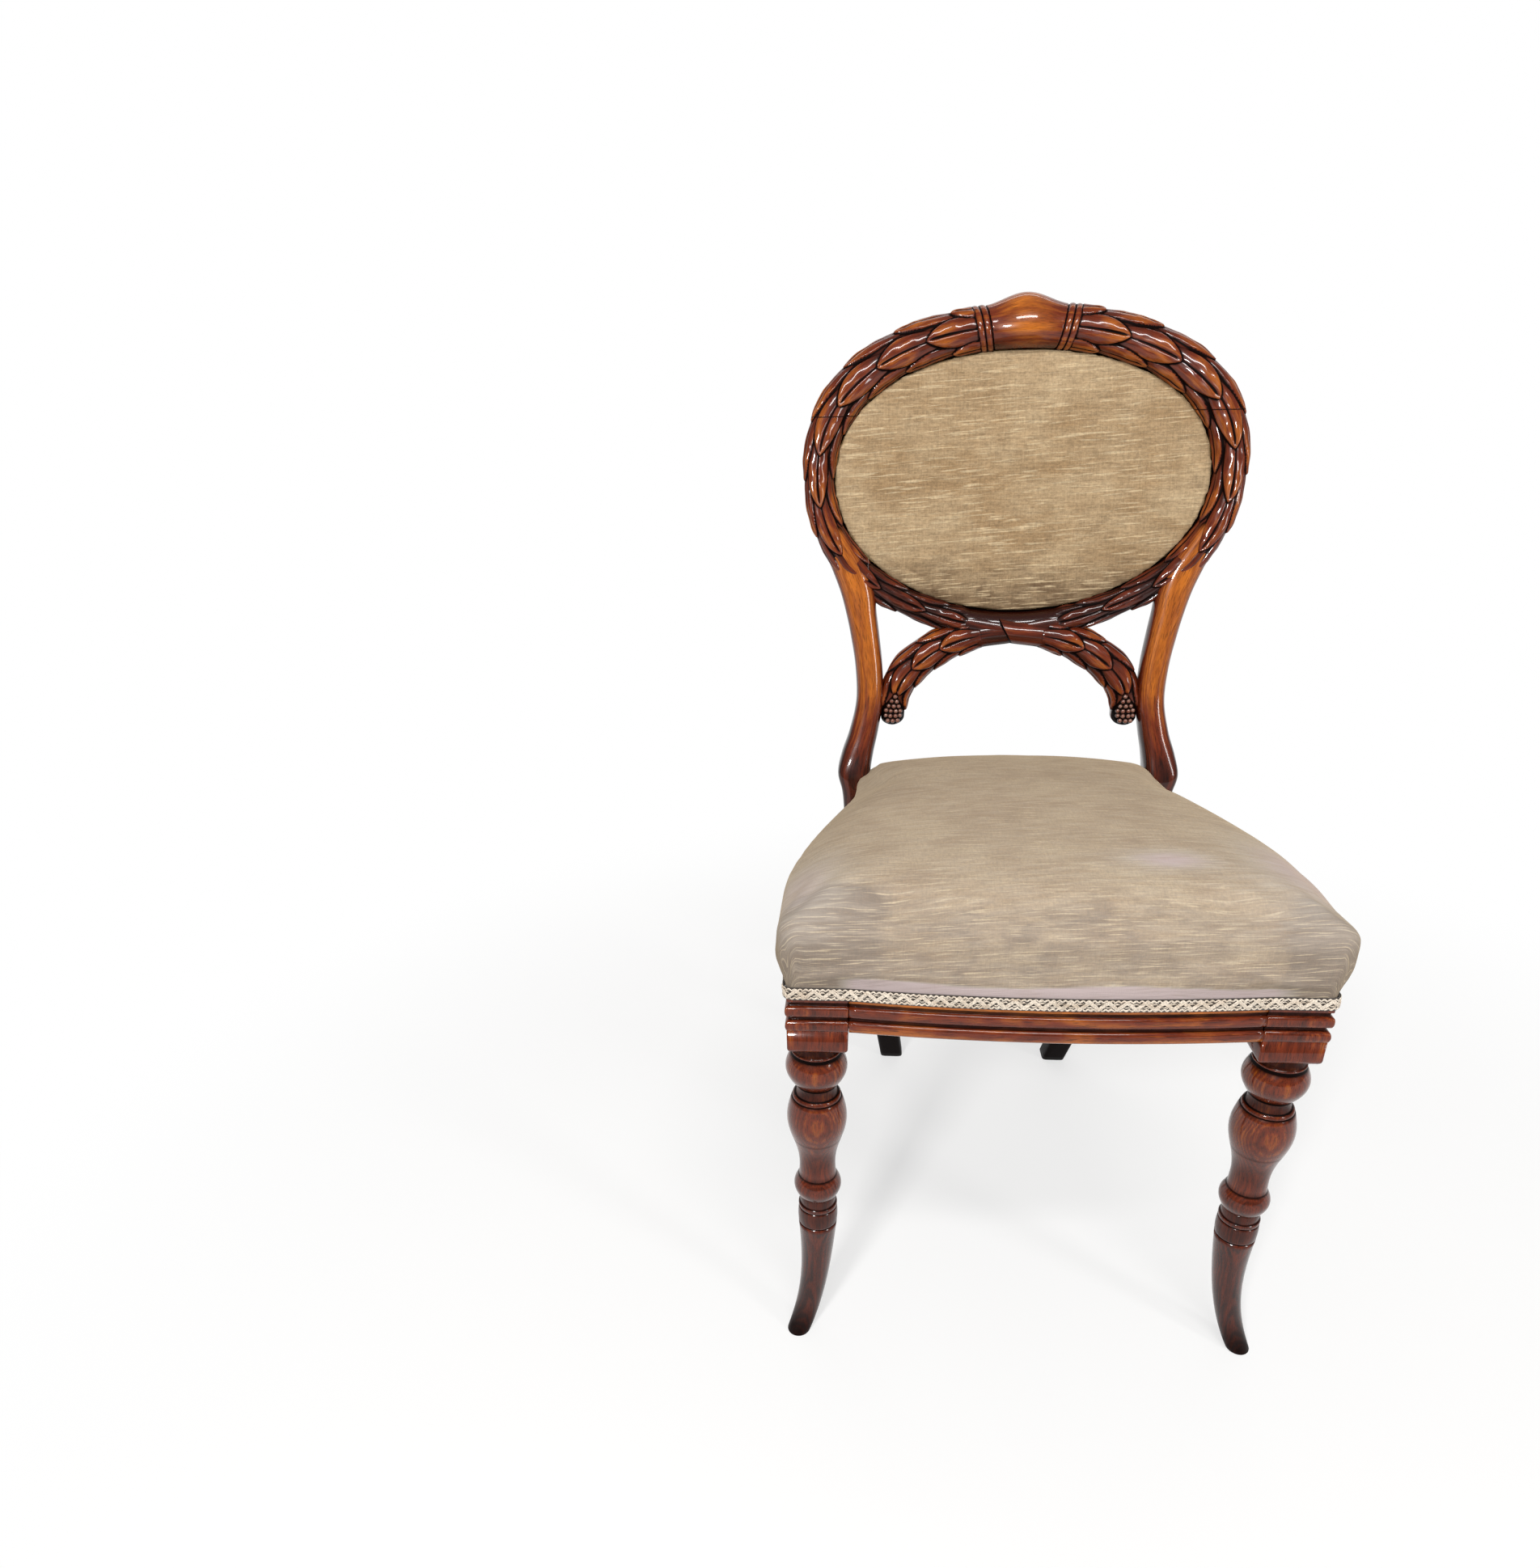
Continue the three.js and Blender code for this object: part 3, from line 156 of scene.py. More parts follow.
class ChairColours(bpy.types.PropertyGroup):
    """Colours of the wood and the cloths"""
    honey: colour("Honey wood", "Worn, light places of the polished wood", "#bd6a20")
    red: colour("Red wood", "Body colour of the polished wood", "#6a2810")
    dark: colour("Dark wood", "Unworn dark places of the polished wood", "#2c0d06")
    stain: colour("Stain", "Old polish and dirt in the hollows", "#0d0504")
    berry: colour("Berries", "Worn crowns of the carved berries", "#8a6353")
    inside: colour("Inside wood", "Unpolished wood inside the seat", "#b18a5e")
    velvet: colour("Velvet", "Body colour of the velvet", "#9c7e59")
    velvet_light: colour("Worn velvet", "Rubbed places and slubs of the velvet", "#ccb48f")
    velvet_dark: colour("Soiled velvet", "Darker places of the velvet", "#7a6147")
    velvet_grey: colour("Faded velvet", "Greyed places of the seat", "#b9b1a8")
    velvet_lilac: colour("Band over the braid", "Cool, rubbed strip of velvet over the braid", "#b8a8a6")
    braid: colour("Braid", "Cords of the gimp braid", "#e6d8c6")
    jute: colour("Jute", "Webbing and hessian", "#a3855a")
    black: colour("Black cloth", "Bottoming cloth", "#1f1c1a")
    tack: colour("Tack", "Blued steel of the tacks", "#22242a")
    floor: colour("Floor", "Pale studio floor", "#f4f3f1")


# ---------------------------------------------------------------- meshes

def finish_piece(piece, *replaced, slot="polished_wood"):
    """Shade it smooth, hang it on the chair and say which CAD nodes it stands for."""
    piece.data.shade_smooth()
    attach(piece, "root")
    if replaced:
        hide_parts(*replaced)
    return piece


def mark(mesh, marks):
    """Lay named numbers or vectors on the points of a mesh, for its material or tree to read."""
    for name, values in marks.items():
        kind, field = ("FLOAT_VECTOR", "vector") if np.ndim(values) == 2 else ("FLOAT", "value")
        mesh.attributes.new(name, kind, "POINT").data.foreach_set(field, np.asarray(values, np.float32).ravel())


def new_object(name, verts, faces, marks={}, material=None, edges=()):
    mesh = bpy.data.meshes.new(name)
    mesh.from_pydata(np.asarray(verts).tolist(), edges, faces)
    mesh.update()
    mark(mesh, marks)
    if material:
        mesh.materials.append(material)
    return placed(name, mesh)


def placed(name, data):
    """An object with this data, in the scene."""
    piece = bpy.data.objects.new(name, data)
    bpy.context.scene.collection.objects.link(piece)
    return piece


def skin(name, rings, marks={}, loop=False, material=None):
    """A closed body over rings of points, with its open ends closed by a fan."""
    rings = np.asarray(rings)
    n, k = rings.shape[:2]
    verts = rings.reshape(-1, 3)
    marks = {key: np.asarray(v).reshape(n * k, *np.shape(v)[2:]) for key, v in marks.items()}
    i = np.arange(n if loop else n - 1)[:, None]
    j = np.arange(k)[None, :]
    a, b = i * k + j, i * k + (j + 1) % k
    c, d = ((i + 1) % n) * k + (j + 1) % k, ((i + 1) % n) * k + j
    faces = np.stack([a, b, c, d], -1).reshape(-1, 4).tolist()
    if not loop:
        ends = [np.arange(k), (n - 1) * k + np.arange(k)]
        verts = np.vstack([verts] + [verts[e].mean(0) for e in ends])
        for key in marks:
            marks[key] = np.concatenate([marks[key]] + [marks[key][e].mean(0)[None] for e in ends])
        for end, (e, centre) in enumerate(zip(ends, (n * k, n * k + 1))):
            for p, q in zip(e, np.roll(e, -1)):
                faces.append((centre, q, p) if end == 0 else (centre, p, q))
    piece = new_object(name, verts, faces, marks, material)
    outwards(piece)
    return piece


def outwards(piece):
    """Turn a closed body the right way out if it is inside out."""
    bm = bmesh.new()
    bm.from_mesh(piece.data)
    if bm.calc_volume(signed=True) < 0:
        bmesh.ops.reverse_faces(bm, faces=bm.faces)
        bm.to_mesh(piece.data)
    bm.free()


def cut(piece, name, *planes):
    """A copy of a closed body, cut by planes (point, normal) that keep the normal's side."""
    bm = bmesh.new()
    bm.from_mesh(piece.data)
    for point, normal in planes:
        done = bmesh.ops.bisect_plane(bm, geom=bm.verts[:] + bm.edges[:] + bm.faces[:], dist=1e-6,
                                      plane_co=point, plane_no=normal, clear_inner=True)
        rim = [e for e in done["geom_cut"] if isinstance(e, bmesh.types.BMEdge) and e.is_boundary]
        bmesh.ops.holes_fill(bm, edges=rim, sides=0)
    bmesh.ops.triangulate(bm, faces=[f for f in bm.faces if len(f.verts) > 4])
    mesh = piece.data.copy()
    bm.to_mesh(mesh)
    bm.free()
    mesh.name = name
    return placed(name, mesh)


def joined(name, *pieces):
    """Several bodies as one object."""
    first = pieces[0]
    if len(pieces) > 1:
        with bpy.context.temp_override(active_object=first, selected_editable_objects=list(pieces)):
            bpy.ops.object.join()
    first.name = first.data.name = name
    return first


def mirrored(piece, name):
    other = placed(name, piece.data.copy())
    other.data.transform(Matrix.Scale(-1, 4, (1, 0, 0)))
    other.data.name = name
    outwards(other)
    return other


def smooth_at(table, place):
    """Values between the entries of a table, on a smooth curve through them."""
    table, place = np.asarray(table, float), np.asarray(place, float)
    last = len(table) - 1
    i = np.clip(np.floor(place).astype(int), 0, last - 1)
    t = place - i
    before, start = table[np.maximum(i - 1, 0)], table[i]
    end, after = table[i + 1], table[np.minimum(i + 2, last)]
    m0, m1 = (end - before) / 2, (after - start) / 2
    return ((2 * t**3 - 3 * t**2 + 1) * start + (t**3 - 2 * t**2 + t) * m0
            + (3 * t**2 - 2 * t**3) * end + (t**3 - t**2) * m1)


def smoothstep(x, low, high):
    t = np.clip((np.asarray(x, float) - low) / (high - low), 0, 1)
    return t * t * (3 - 2 * t)


def lengths_along(points):
    """How far each point lies along a line through all of them."""
    return np.concatenate([[0], np.cumsum(np.linalg.norm(np.diff(points, axis=0), axis=1))])


def blurred(grid, loop):
    """A grid of heights, smoothed over a few cells each way; a loop has no first and last row."""
    for axis, width in enumerate((2.6, 2.2)):
        reach = int(3 * width)
        kernel = np.exp(-0.5 * (np.arange(-reach, reach + 1) / width) ** 2)
        kernel /= kernel.sum()
        pad = [(0, 0), (0, 0)]
        pad[axis] = (reach, reach)
        padded = np.pad(grid, pad, mode="wrap" if loop and axis == 0 else "edge")
        grid = np.apply_along_axis(lambda v: np.convolve(v, kernel, "valid"), axis, padded)
    return grid


def recesses(height, loop=False):
    """How deep each point lies under its surroundings, 0 to 1 at FULL_RECESS."""
    return np.clip((blurred(height, loop) - height) / FULL_RECESS, 0, 1)


def wooden(name, rings, recess, tone, grain, loop=False):
    """A polished body over rings, marked with its hollows, its tone and its place along, across and into the grain."""
    n = np.shape(rings)[:2]
    marks = {"recess": np.broadcast_to(recess, n), "tone": np.broadcast_to(tone, n),
             "grain": np.stack([np.broadcast_to(part, n) for part in grain], -1)}
    return skin(name, rings, marks, loop, material("polished_wood"))


# ---------------------------------------------------------------- nodes

def node(tree, kind, *values, out="", stops=(), **options):
    """Add a node, or fill one that is there, and return the output that is named, or else the first open one.

    A kind may name its operation after a colon. Values fill the open inputs in order; options are settings
    (small letters) and inputs (capitals). A value is a number, a colour, a socket to link or a list of
    sockets. Stops are the places and shades of a colour ramp.
    """
    if isinstance(kind, str):
        kind, _, operation = kind.partition(":")
        kind = tree.nodes.new(kind)
        if operation:
            kind.operation = operation
    for key, value in options.items():
        if key[0].islower():
            setattr(kind, key, value)
    for i, (place, shade) in enumerate(stops):
        elements = kind.color_ramp.elements
        element = elements[i] if i < len(elements) else elements.new(1)
        element.position = place
        element.color = (*shade, 1) if hasattr(shade, "__len__") else (shade, shade, shade, 1)
    named = [(kind.inputs[key.replace("_", " ")], value) for key, value in options.items() if key[0].isupper()]
    for socket, value in [*zip([s for s in kind.inputs if s.enabled], values), *named]:
        if isinstance(value, (bpy.types.NodeSocket, list)):
            for source in value if isinstance(value, list) else [value]:
                tree.links.new(source, socket)
        else:
            socket.default_value = (*value, 1)[:4] if socket.type == "RGBA" else value
    return kind.outputs[out] if out else next((socket for socket in kind.outputs if socket.enabled), kind)


# ---------------------------------------------------------------- the bowed back and its oval

WREATH_WIDTHS = (1, 1.01, 0.98, 0.75, 0.75, 0.61, 0.72)      # from the crest down to the crossing
RISE_SHARE = 0.9
WOOD_BEHIND, BACK_CHAMFER, LIP_REACH, LIP_FRONT, LIP_BACK = 10 * MM, 3 * MM, 8 * MM, 3 * MM, 8 * MM


def back_y(b, x, z):
    return b.setback - LEG_LINE + b.rake * (z - b.rake_height) - b.bow * (x / b.bow_half_width) ** 2


def on_back(b, x, z, behind):
    return np.stack([x, back_y(b, x, z) + behind, z + 0 * x], -1)


def oval(b, turn):
    """Points of the oval; turn 0 is the crest and half a circle the crossing."""
    s, c = np.sin(turn), np.cos(turn)
    power = np.where(c > 0, 2 / 2.2, 1.0)
    reach = np.where(c > 0, b.oval_above, b.oval_below)
    return (b.oval_half_width * np.sign(s) * np.abs(s) ** power,
            b.oval_height + reach * np.sign(c) * np.abs(c) ** power)


def wreath_line(b, turn):
    """Middle line of the wreath, its outward direction and its half width."""
    step = 1e-3
    x, z = oval(b, turn)
    (xa, za), (xb, zb) = oval(b, turn - step), oval(b, turn + step)
    size = np.hypot(xb - xa, zb - za)
    out_x, out_z = -(zb - za) / size, (xb - xa) / size
    down = np.abs(np.arctan2(np.sin(turn), np.cos(turn))) / math.pi
    half = b.wreath_width * smooth_at(WREATH_WIDTHS, down * (len(WREATH_WIDTHS) - 1)) / 2
    return x + out_x * half, z + out_z * half, out_x, out_z, half


def wreath_turns(b):
    """Turns against lengths along the middle line, on both sides of the crest."""
    turns = np.linspace(-math.pi, math.pi, 4001)
    x, z = wreath_line(b, turns)[:2]
    lengths = lengths_along(np.column_stack([x, z]))
    return lengths - lengths[2000], turns


# ---------------------------------------------------------------- laurel carving

# rows of leaves: turn round the band, shift along it in pitches, half angle a leaf covers, depth of its lobes
LEAF_ROWS = ((0.0, 0.0, 0.235 * math.pi, 0.8), (0.37 * math.pi, -0.5, 0.175 * math.pi, 0.4),
             (-0.37 * math.pi, -0.5, 0.175 * math.pi, 0.4))
MIDRIB = 0.9 * MM


def leaf_width(t):
    """Half width of a leaf along its length: a narrow base, then a full blade and a short point."""
    blade = np.clip(1 - np.clip((t - 0.52) / 0.48, 0, 1) ** 1.6, 0, 1) ** 0.7
    return np.where(t < 0.52, 0.6 + 0.4 * np.sin(math.pi / 2 * np.clip(t / 0.52, 0, 1)), blade)


def leaf_relief(along, turn, radius, tip, size, row, spread, rise, groove):
    """Height of one leaf over a grid on the round, highest near its tip."""
    t = np.clip((along - tip + size) / size, 0, 1)
    here = leaf_width(t) * spread
    q = np.abs(turn - row) / np.maximum(here, 1e-4)
    wall = smoothstep((1 - q) * here * radius, 0, 1.3 * MM) * ((t > 0) & (t < 1))
    lobes = np.sin(math.pi * (0.17 + 0.7 * np.clip(q, 0, 1))) ** 0.7
    dome = 0.62 + 0.38 * (1 - np.clip(q, 0, 1) ** 2)
    rib = 1 - 0.7 * groove * np.exp(-((turn - row) * radius / MIDRIB) ** 2) * smoothstep(t, 0.97, 0.8)
    body = 0.15 + 0.85 * smoothstep(t, 0.0, 0.75) ** 0.8 - 0.1 * smoothstep(t, 0.8, 1)
    return wall * rise * body * rib * (groove * lobes + (1 - groove) * dome)


def laurel(along, turn, radius, b):
    """Three rows of overlapping leaves; the side rows lie half a leaf apart from the ridge row."""
    height = np.zeros_like(turn + along)
    for row, shift, spread, groove in LEAF_ROWS:
        for i in range(WREATH_LEAVES):
            tip = FIRST_TIP + (i + shift + 0.06 * math.sin(7.3 * i + 5 * row)) * b.leaf_pitch
            size = min(b.leaf_length, tip - RIBBON_START)
            wobble = 0.07 * math.sin(5.1 * i + 9 * row)
            leaf = leaf_relief(along, turn, radius, tip, size, row + wobble, spread, b.leaf_rise, groove)
            height = np.maximum(height, leaf)
    return chiselled(height, along, turn)


def chiselled(height, along, turn):
    """Uneven tool marks over carved leaves."""
    marks = np.sin(along / (4.1 * MM) + 2.7 * np.sin(2.3 * turn)) * np.sin(4.7 * turn + along / (11.3 * MM))
    fine = np.sin(along / (1.9 * MM) + 3 * np.sin(along / (17 * MM))) * np.sin(9 * turn + along / (23 * MM))
    return height * (1 + 0.12 * marks + 0.03 * fine)


RIBBON_START, RIBBON_SLANT, REEDS = 31 * MM, 8 * MM, 2
BOSS_REACH, BOSS_LIFT, BOSS_FORWARD, BOSS_RAISED = 41 * MM, 9.4 * MM, 6 * MM, 1.6 * MM
CARVING_STEP, WREATH_FACETS, TAIL_FACETS = 0.7 * MM, 79, 59      # how finely the carving is cut
FIRST_TIP, WREATH_LEAVES = 98 * MM, 10                           # along each half of the wreath


def wreath_grid(b):
    """Heights and lifts of the carving over the front of the wreath."""
    lengths, turns = wreath_turns(b)
    end = lengths[-1]
    stations = 2 * int(end / CARVING_STEP)
    along = (np.arange(stations) + 0.5) / stations * 2 * end - end
    turn = np.interp(along, lengths, turns)
    x, z, out_x, out_z, half = (v[:, None] for v in wreath_line(b, turn))
    across = np.linspace(-math.pi / 2, math.pi / 2, WREATH_FACETS)[None, :]
    far = np.abs(along)[:, None]
    height = laurel(far, across, half, b) * smoothstep(end - far, 44 * MM, 56 * MM)
    reed = (far - RIBBON_START - RIBBON_SLANT * (across / math.pi + 0.5)) / b.reed_width
    on_ribbon = (reed > 0) & (reed < REEDS)
    ridge = np.sqrt(np.clip(1 - (2 * (reed % 1) - 1) ** 2, 0, 1))
    height = np.where(on_ribbon, b.reed_rise * (0.2 + 0.8 * ridge), height)
    on_boss = reed <= 0
    height = np.where(on_boss, BOSS_RAISED * smoothstep(-reed, 0, 0.25), height)
    swell = np.cos(np.clip(far / BOSS_REACH, 0, 1) * math.pi / 2) ** 2
    lift, front = BOSS_LIFT * swell, BOSS_FORWARD * swell
    recess = recesses(height, loop=True)
    recess = np.where(on_boss & (reed < -0.3), 0, recess)
    return along, (x, z, out_x, out_z, half), across, height, lift, front, recess, on_boss


def carved_wreath(b):
    """The whole wreath as one ring, to be cut at its joints."""
    along, (x, z, out_x, out_z, half), across, height, lift, front, recess, on_boss = wreath_grid(b)
    rise = half * RISE_SHARE
    side = np.sin(across) * (half + height + np.where(across > 0, lift, 0))
    carved = on_back(b, x + out_x * side, z + out_z * side, -np.cos(across) * (rise + height + front))
    n = len(along)
    outline = half[:, 0] + lift[:, 0]

    def behind(across_by, depth):
        return on_back(b, x[:, 0] + out_x[:, 0] * across_by, z[:, 0] + out_z[:, 0] * across_by,
                       np.full(n, depth))[:, None]

    inner = -half[:, 0]
    rest = [behind(outline, WOOD_BEHIND - BACK_CHAMFER), behind(outline - BACK_CHAMFER, WOOD_BEHIND),
            behind(outline / 3, WOOD_BEHIND), behind(inner / 3, WOOD_BEHIND),
            behind(inner, WOOD_BEHIND), behind(inner, LIP_BACK), behind(inner - LIP_REACH, LIP_BACK),
            behind(inner - LIP_REACH, LIP_FRONT), behind(inner, LIP_FRONT)]
    rings = np.concatenate([carved] + rest, 1)
    k = rings.shape[1]
    recess = np.pad(recess, ((0, 0), (0, len(rest))))
    recess[:, -2:] = 1.0
    tone = np.repeat(0.42 - 0.36 * smoothstep(z, 0.70, 0.60), k, 1)
    # lighter where it stands out and is rubbed, by so much a metre
    boss_tone = 0.46 + 38 * lift - 0.34 * smoothstep(-across, 0, 1.2)
    leaf_tone = tone[:, :WREATH_FACETS] + 165 * height - 0.28
    tone[:, :WREATH_FACETS] = np.where(on_boss, boss_tone, leaf_tone)
    return wooden("wreath", rings, recess, tone, (along[:, None], np.linspace(0, 0.13, k), 0.3), loop=True)


# ---------------------------------------------------------------- crossed stems and leaf tails

TAIL_ACROSS = (-0.53, -0.28, 0, 0.3, 0.555, 0.8, 0.93, 0.985, 1, 1.005)
TAIL_DOWN = (0.01, 0.055, 0.11, 0.15, 0.23, 0.4, 0.56, 0.72, 0.87, 1.03)
TAIL_WIDTHS = (0.66, 0.72, 0.76, 0.82, 0.94, 1, 0.98, 0.82, 0.72, 0.4)
BERRY_BED, BERRY_ROWS, SPAN_POINTS = 35 * MM, (1, 2, 3, 4, 4, 3), 60
ROUND_END, ROUND_OVER = 9 * MM, 9.3 * MM      # the rounded end of a tail, and the radius of its curve
TAIL_LEAF, TAIL_LEAF_PITCH, TAIL_LEAF_START = 44 * MM, 34 * MM, 96 * MM


def through(points):
    """A smooth curve through points, evenly tense over long and short spans, with its table places."""
    p = np.asarray(points, float)
    p = np.concatenate([[2 * p[0] - p[1]], p, [2 * p[-1] - p[-2]]])
    path, places = [], []
    for i in range(1, len(p) - 2):
        t = [0.0]
        for a, c in zip(p[i - 1:i + 2], p[i:i + 3]):
            t.append(t[-1] + np.linalg.norm(c - a) ** 0.5)
        u = np.linspace(0, 1, SPAN_POINTS, endpoint=i == len(p) - 3)
        at = (t[1] + (t[2] - t[1]) * u)[:, None]
        a = [(t[j + 1] - at) / (t[j + 1] - t[j]) * p[i - 1 + j] + (at - t[j]) / (t[j + 1] - t[j]) * p[i + j]
             for j in range(3)]
        m = [(t[j + 2] - at) / (t[j + 2] - t[j]) * a[j] + (at - t[j]) / (t[j + 2] - t[j]) * a[j + 1]
             for j in range(2)]
        path.append((t[2] - at) / (t[2] - t[1]) * m[0] + (at - t[1]) / (t[2] - t[1]) * m[1])
        places.append(i - 1 + u)
    return np.concatenate(path), np.concatenate(places)


def tail_line(b):
    """Middle line of the right tail at even spacing: lengths, x, z, outward direction, half width."""
    points = [(b.tail_reach * s, b.tail_top - b.tail_drop * d) for s, d in zip(TAIL_ACROSS, TAIL_DOWN)]
    path, places = through(points)
    lengths = lengths_along(path)
    along = np.linspace(0, lengths[-1], int(lengths[-1] / CARVING_STEP))
    x, z = (np.interp(along, lengths, path[:, i]) for i in (0, 1))
    half = b.tail_half_width * smooth_at(TAIL_WIDTHS, np.interp(along, lengths, places))
    dx, dz = np.gradient(x), np.gradient(z)
    size = np.hypot(dx, dz)
    return along, x, z, -dz / size, dx / size, half


def rounded(along, end):
    """Share of a tail's width that is left where its end is rounded."""
    return np.sqrt(np.clip(1 - np.clip((along - end + ROUND_END) / ROUND_OVER, 0, 1) ** 2, 0.01, 1))


def tail(b, name, lift):
    """One stem with its leafy tail, rounded at the end; a lifted stem passes in front."""
    along, x, z, out_x, out_z, half = tail_line(b)
    end = along[-1]
    widened = b.berry_half_width * smoothstep(along, end - 30 * MM, end - 20 * MM)
    half = np.maximum(half, widened) * rounded(along, end)
    far, x, z, out_x, out_z, half = (v[:, None] for v in (along, x, z, out_x, out_z, half))
    across = np.linspace(-math.pi / 2, math.pi / 2, TAIL_FACETS)[None, :]
    height = np.zeros((len(along), TAIL_FACETS))
    for row, shift, spread, groove in LEAF_ROWS:
        for i in range(-2, 1 if row == 0 else 2):
            tip = end - BERRY_BED + 4 * MM + (i + shift) * TAIL_LEAF_PITCH
            size = min(TAIL_LEAF, tip - TAIL_LEAF_START)
            leaf = leaf_relief(far, across, half, tip, size, row, spread, b.leaf_rise * 0.9, groove)
            height = np.maximum(height, leaf)
    bed = smoothstep(far, end - BERRY_BED - 3 * MM, end - BERRY_BED + 3 * MM)
    open_turn = 0.2 + 1.35 * smoothstep(far, end - BERRY_BED, end - BERRY_BED * 0.25)
    bed = bed * smoothstep(open_turn - np.abs(across), -0.05, 0.15)
    height = height * (1 - bed) - 1.2 * MM * bed
    # the lifted stem laps over the other along a slanting edge
    rim = x + 16 * MM - 0.7 * (b.tail_top + 2 * MM - z - out_z * np.sin(across) * half)
    raised = np.sqrt(np.clip(1 - np.abs(x) / (64 * MM), 0, 1))
    raised = raised * (1.5 * MM + lift * smoothstep(rim, -0.5 * MM, 0.5 * MM))
    recess = np.maximum(recesses(height), bed)
    height = chiselled(height, far, across)
    edge = smoothstep(np.abs(across), 0.9, 1.15) * smoothstep(np.abs(x), 45 * MM, 25 * MM)
    recess = np.maximum(recess, edge)
    if lift > 0:
        recess = np.maximum(recess, smoothstep(np.abs(rim), 1.5 * MM, 0.6 * MM))
    side = np.sin(across) * (half + height)
    front = on_back(b, x + out_x * side, z + out_z * side, -np.cos(across) * (half * RISE_SHARE + height + raised))
    rest = [on_back(b, x + out_x * s * half, z + out_z * s * half, np.full_like(x, behind))
            for s, behind in ((1, WOOD_BEHIND - BACK_CHAMFER), (0.8, WOOD_BEHIND), (-0.8, WOOD_BEHIND),
                              (-1, WOOD_BEHIND - BACK_CHAMFER))]
    rings = np.concatenate([front] + rest, 1)
    tone = np.repeat(0.2 + 0.12 * smoothstep(far, 90 * MM, 140 * MM), rings.shape[1], 1)
    strap = (lift > 0) * smoothstep(rim, 0, 1 * MM) * smoothstep(rim, 50 * MM, 20 * MM)
    tone[:, :TAIL_FACETS] += 150 * height - 0.16 + 0.3 * strap
    grain = far, np.linspace(0, 0.1, rings.shape[1]), 0.7 + lift
    return wooden(name, rings, np.pad(recess, ((0, 0), (0, len(rest)))), tone, grain)


def berry_places(b):
    """Centres of the berries on the right tail, in rows that widen from one berry."""
    along, x, z, out_x, out_z, half = tail_line(b)
    centres = []
    pitch = b.berry_diameter * 0.93
    for row, count in enumerate(BERRY_ROWS):
        place = along[-1] - BERRY_BED + 3.5 * MM + row * pitch
        at = [np.interp(place, along, v) for v in (x, z, out_x, out_z)]
        wide = max(np.interp(place, along, half), b.berry_half_width) * rounded(place, along[-1]) - 1 * MM
        for i in range(count):
            turn = (i - (count - 1) / 2) * b.berry_diameter / max(wide, 9 * MM)
            side = math.sin(turn) * wide
            centres.append(on_back(b, at[0] + at[2] * side, at[1] + at[3] * side,
                                   -math.cos(turn) * wide * RISE_SHARE))
    return np.array(centres)


# ---------------------------------------------------------------- stiles, legs and rails

STILE_HEIGHTS = (1, 0.962, 0.93, 0.9, 0.87, 0.84, 0.795, 0.745, 0.7, 0.668, 0.639, 0.612, 0.582, 0.506,
                 0.36, 0.18, 0)
STILE_OUTER = (1, 0.962, 0.915, 0.875, 0.846, 0.823, 0.797, 0.79, 0.823, 0.861, 0.882, 0.86, 0.85, 0.838,
               0.775, 0.69, 0.606)
STILE_INNER = (0.89, 0.805, 0.735, 0.702, 0.69, 0.675, 0.656, 0.65, 0.672, 0.695, 0.709, 0.703, 0.692, 0.66,
               0.6, 0.536, 0.463)
STILE_DEPTHS = (0.5, 0.66, 0.73, 0.76, 0.78, 0.8, 0.81, 0.84, 0.88, 0.94, 1, 1, 1, 1, 0.94, 0.86, 0.81)
STILE_SQUARE = (0, 0, 0, 0, 0, 0, 0, 0, 0, 0.1, 0.4, 0.7, 1, 1, 1, 1, 1)
LEG_SWEEP = (0, 0.012, 0.17, 0.53, 1)
FIRST_SWEPT, STILE_FACETS = len(STILE_HEIGHTS) - len(LEG_SWEEP), 40


def stile(b):
    """Right stile and raked leg: rounded above the seat, squared below it."""
    place = np.linspace(0, len(STILE_HEIGHTS) - 1, 161)[:, None]
    z = b.stile_top * smooth_at(STILE_HEIGHTS, place)
    turn = b.oval_half_width + b.turn_out
    outer, inner = (turn * smooth_at(t, place) for t in (STILE_OUTER, STILE_INNER))
    x, half = (outer + inner) / 2, (outer - inner) / 2
    depth = b.stile_depth * smooth_at(STILE_DEPTHS, place)
    swept = b.rear_leg_line - LEG_LINE + b.rear_sweep * smooth_at(LEG_SWEEP, np.maximum(place - FIRST_SWEPT, 0))
    blend = smoothstep(place, FIRST_SWEPT - 3, FIRST_SWEPT)
    y = back_y(b, x, z) * (1 - blend) + swept * blend
    square = np.clip(smooth_at(STILE_SQUARE, place), 0, 1)
    power = 2 / (2.5 + 3.5 * square)
    angle = (np.arange(STILE_FACETS) + 0.5) * 2 * math.pi / STILE_FACETS
    c, s = np.cos(angle), np.sin(angle)
    rings = np.stack([x + half * np.sign(c) * np.abs(c) ** power, y + depth * np.sign(s) * np.abs(s) ** power,
                      z + 0 * c], -1)
    tone = 0.1 + 0.68 * smoothstep(z, 0.42, 0.56) - 0.2 * np.clip(s, 0, 1) - 0.7 * np.abs(c) ** 5
    recess = np.maximum(0.8 * smoothstep(z, 0.674, 0.690), 0.7 * smoothstep(z, 0.40, 0.33))
    return wooden("stile", rings, recess, tone, (z, 0.02 * c, 0.02 * s))


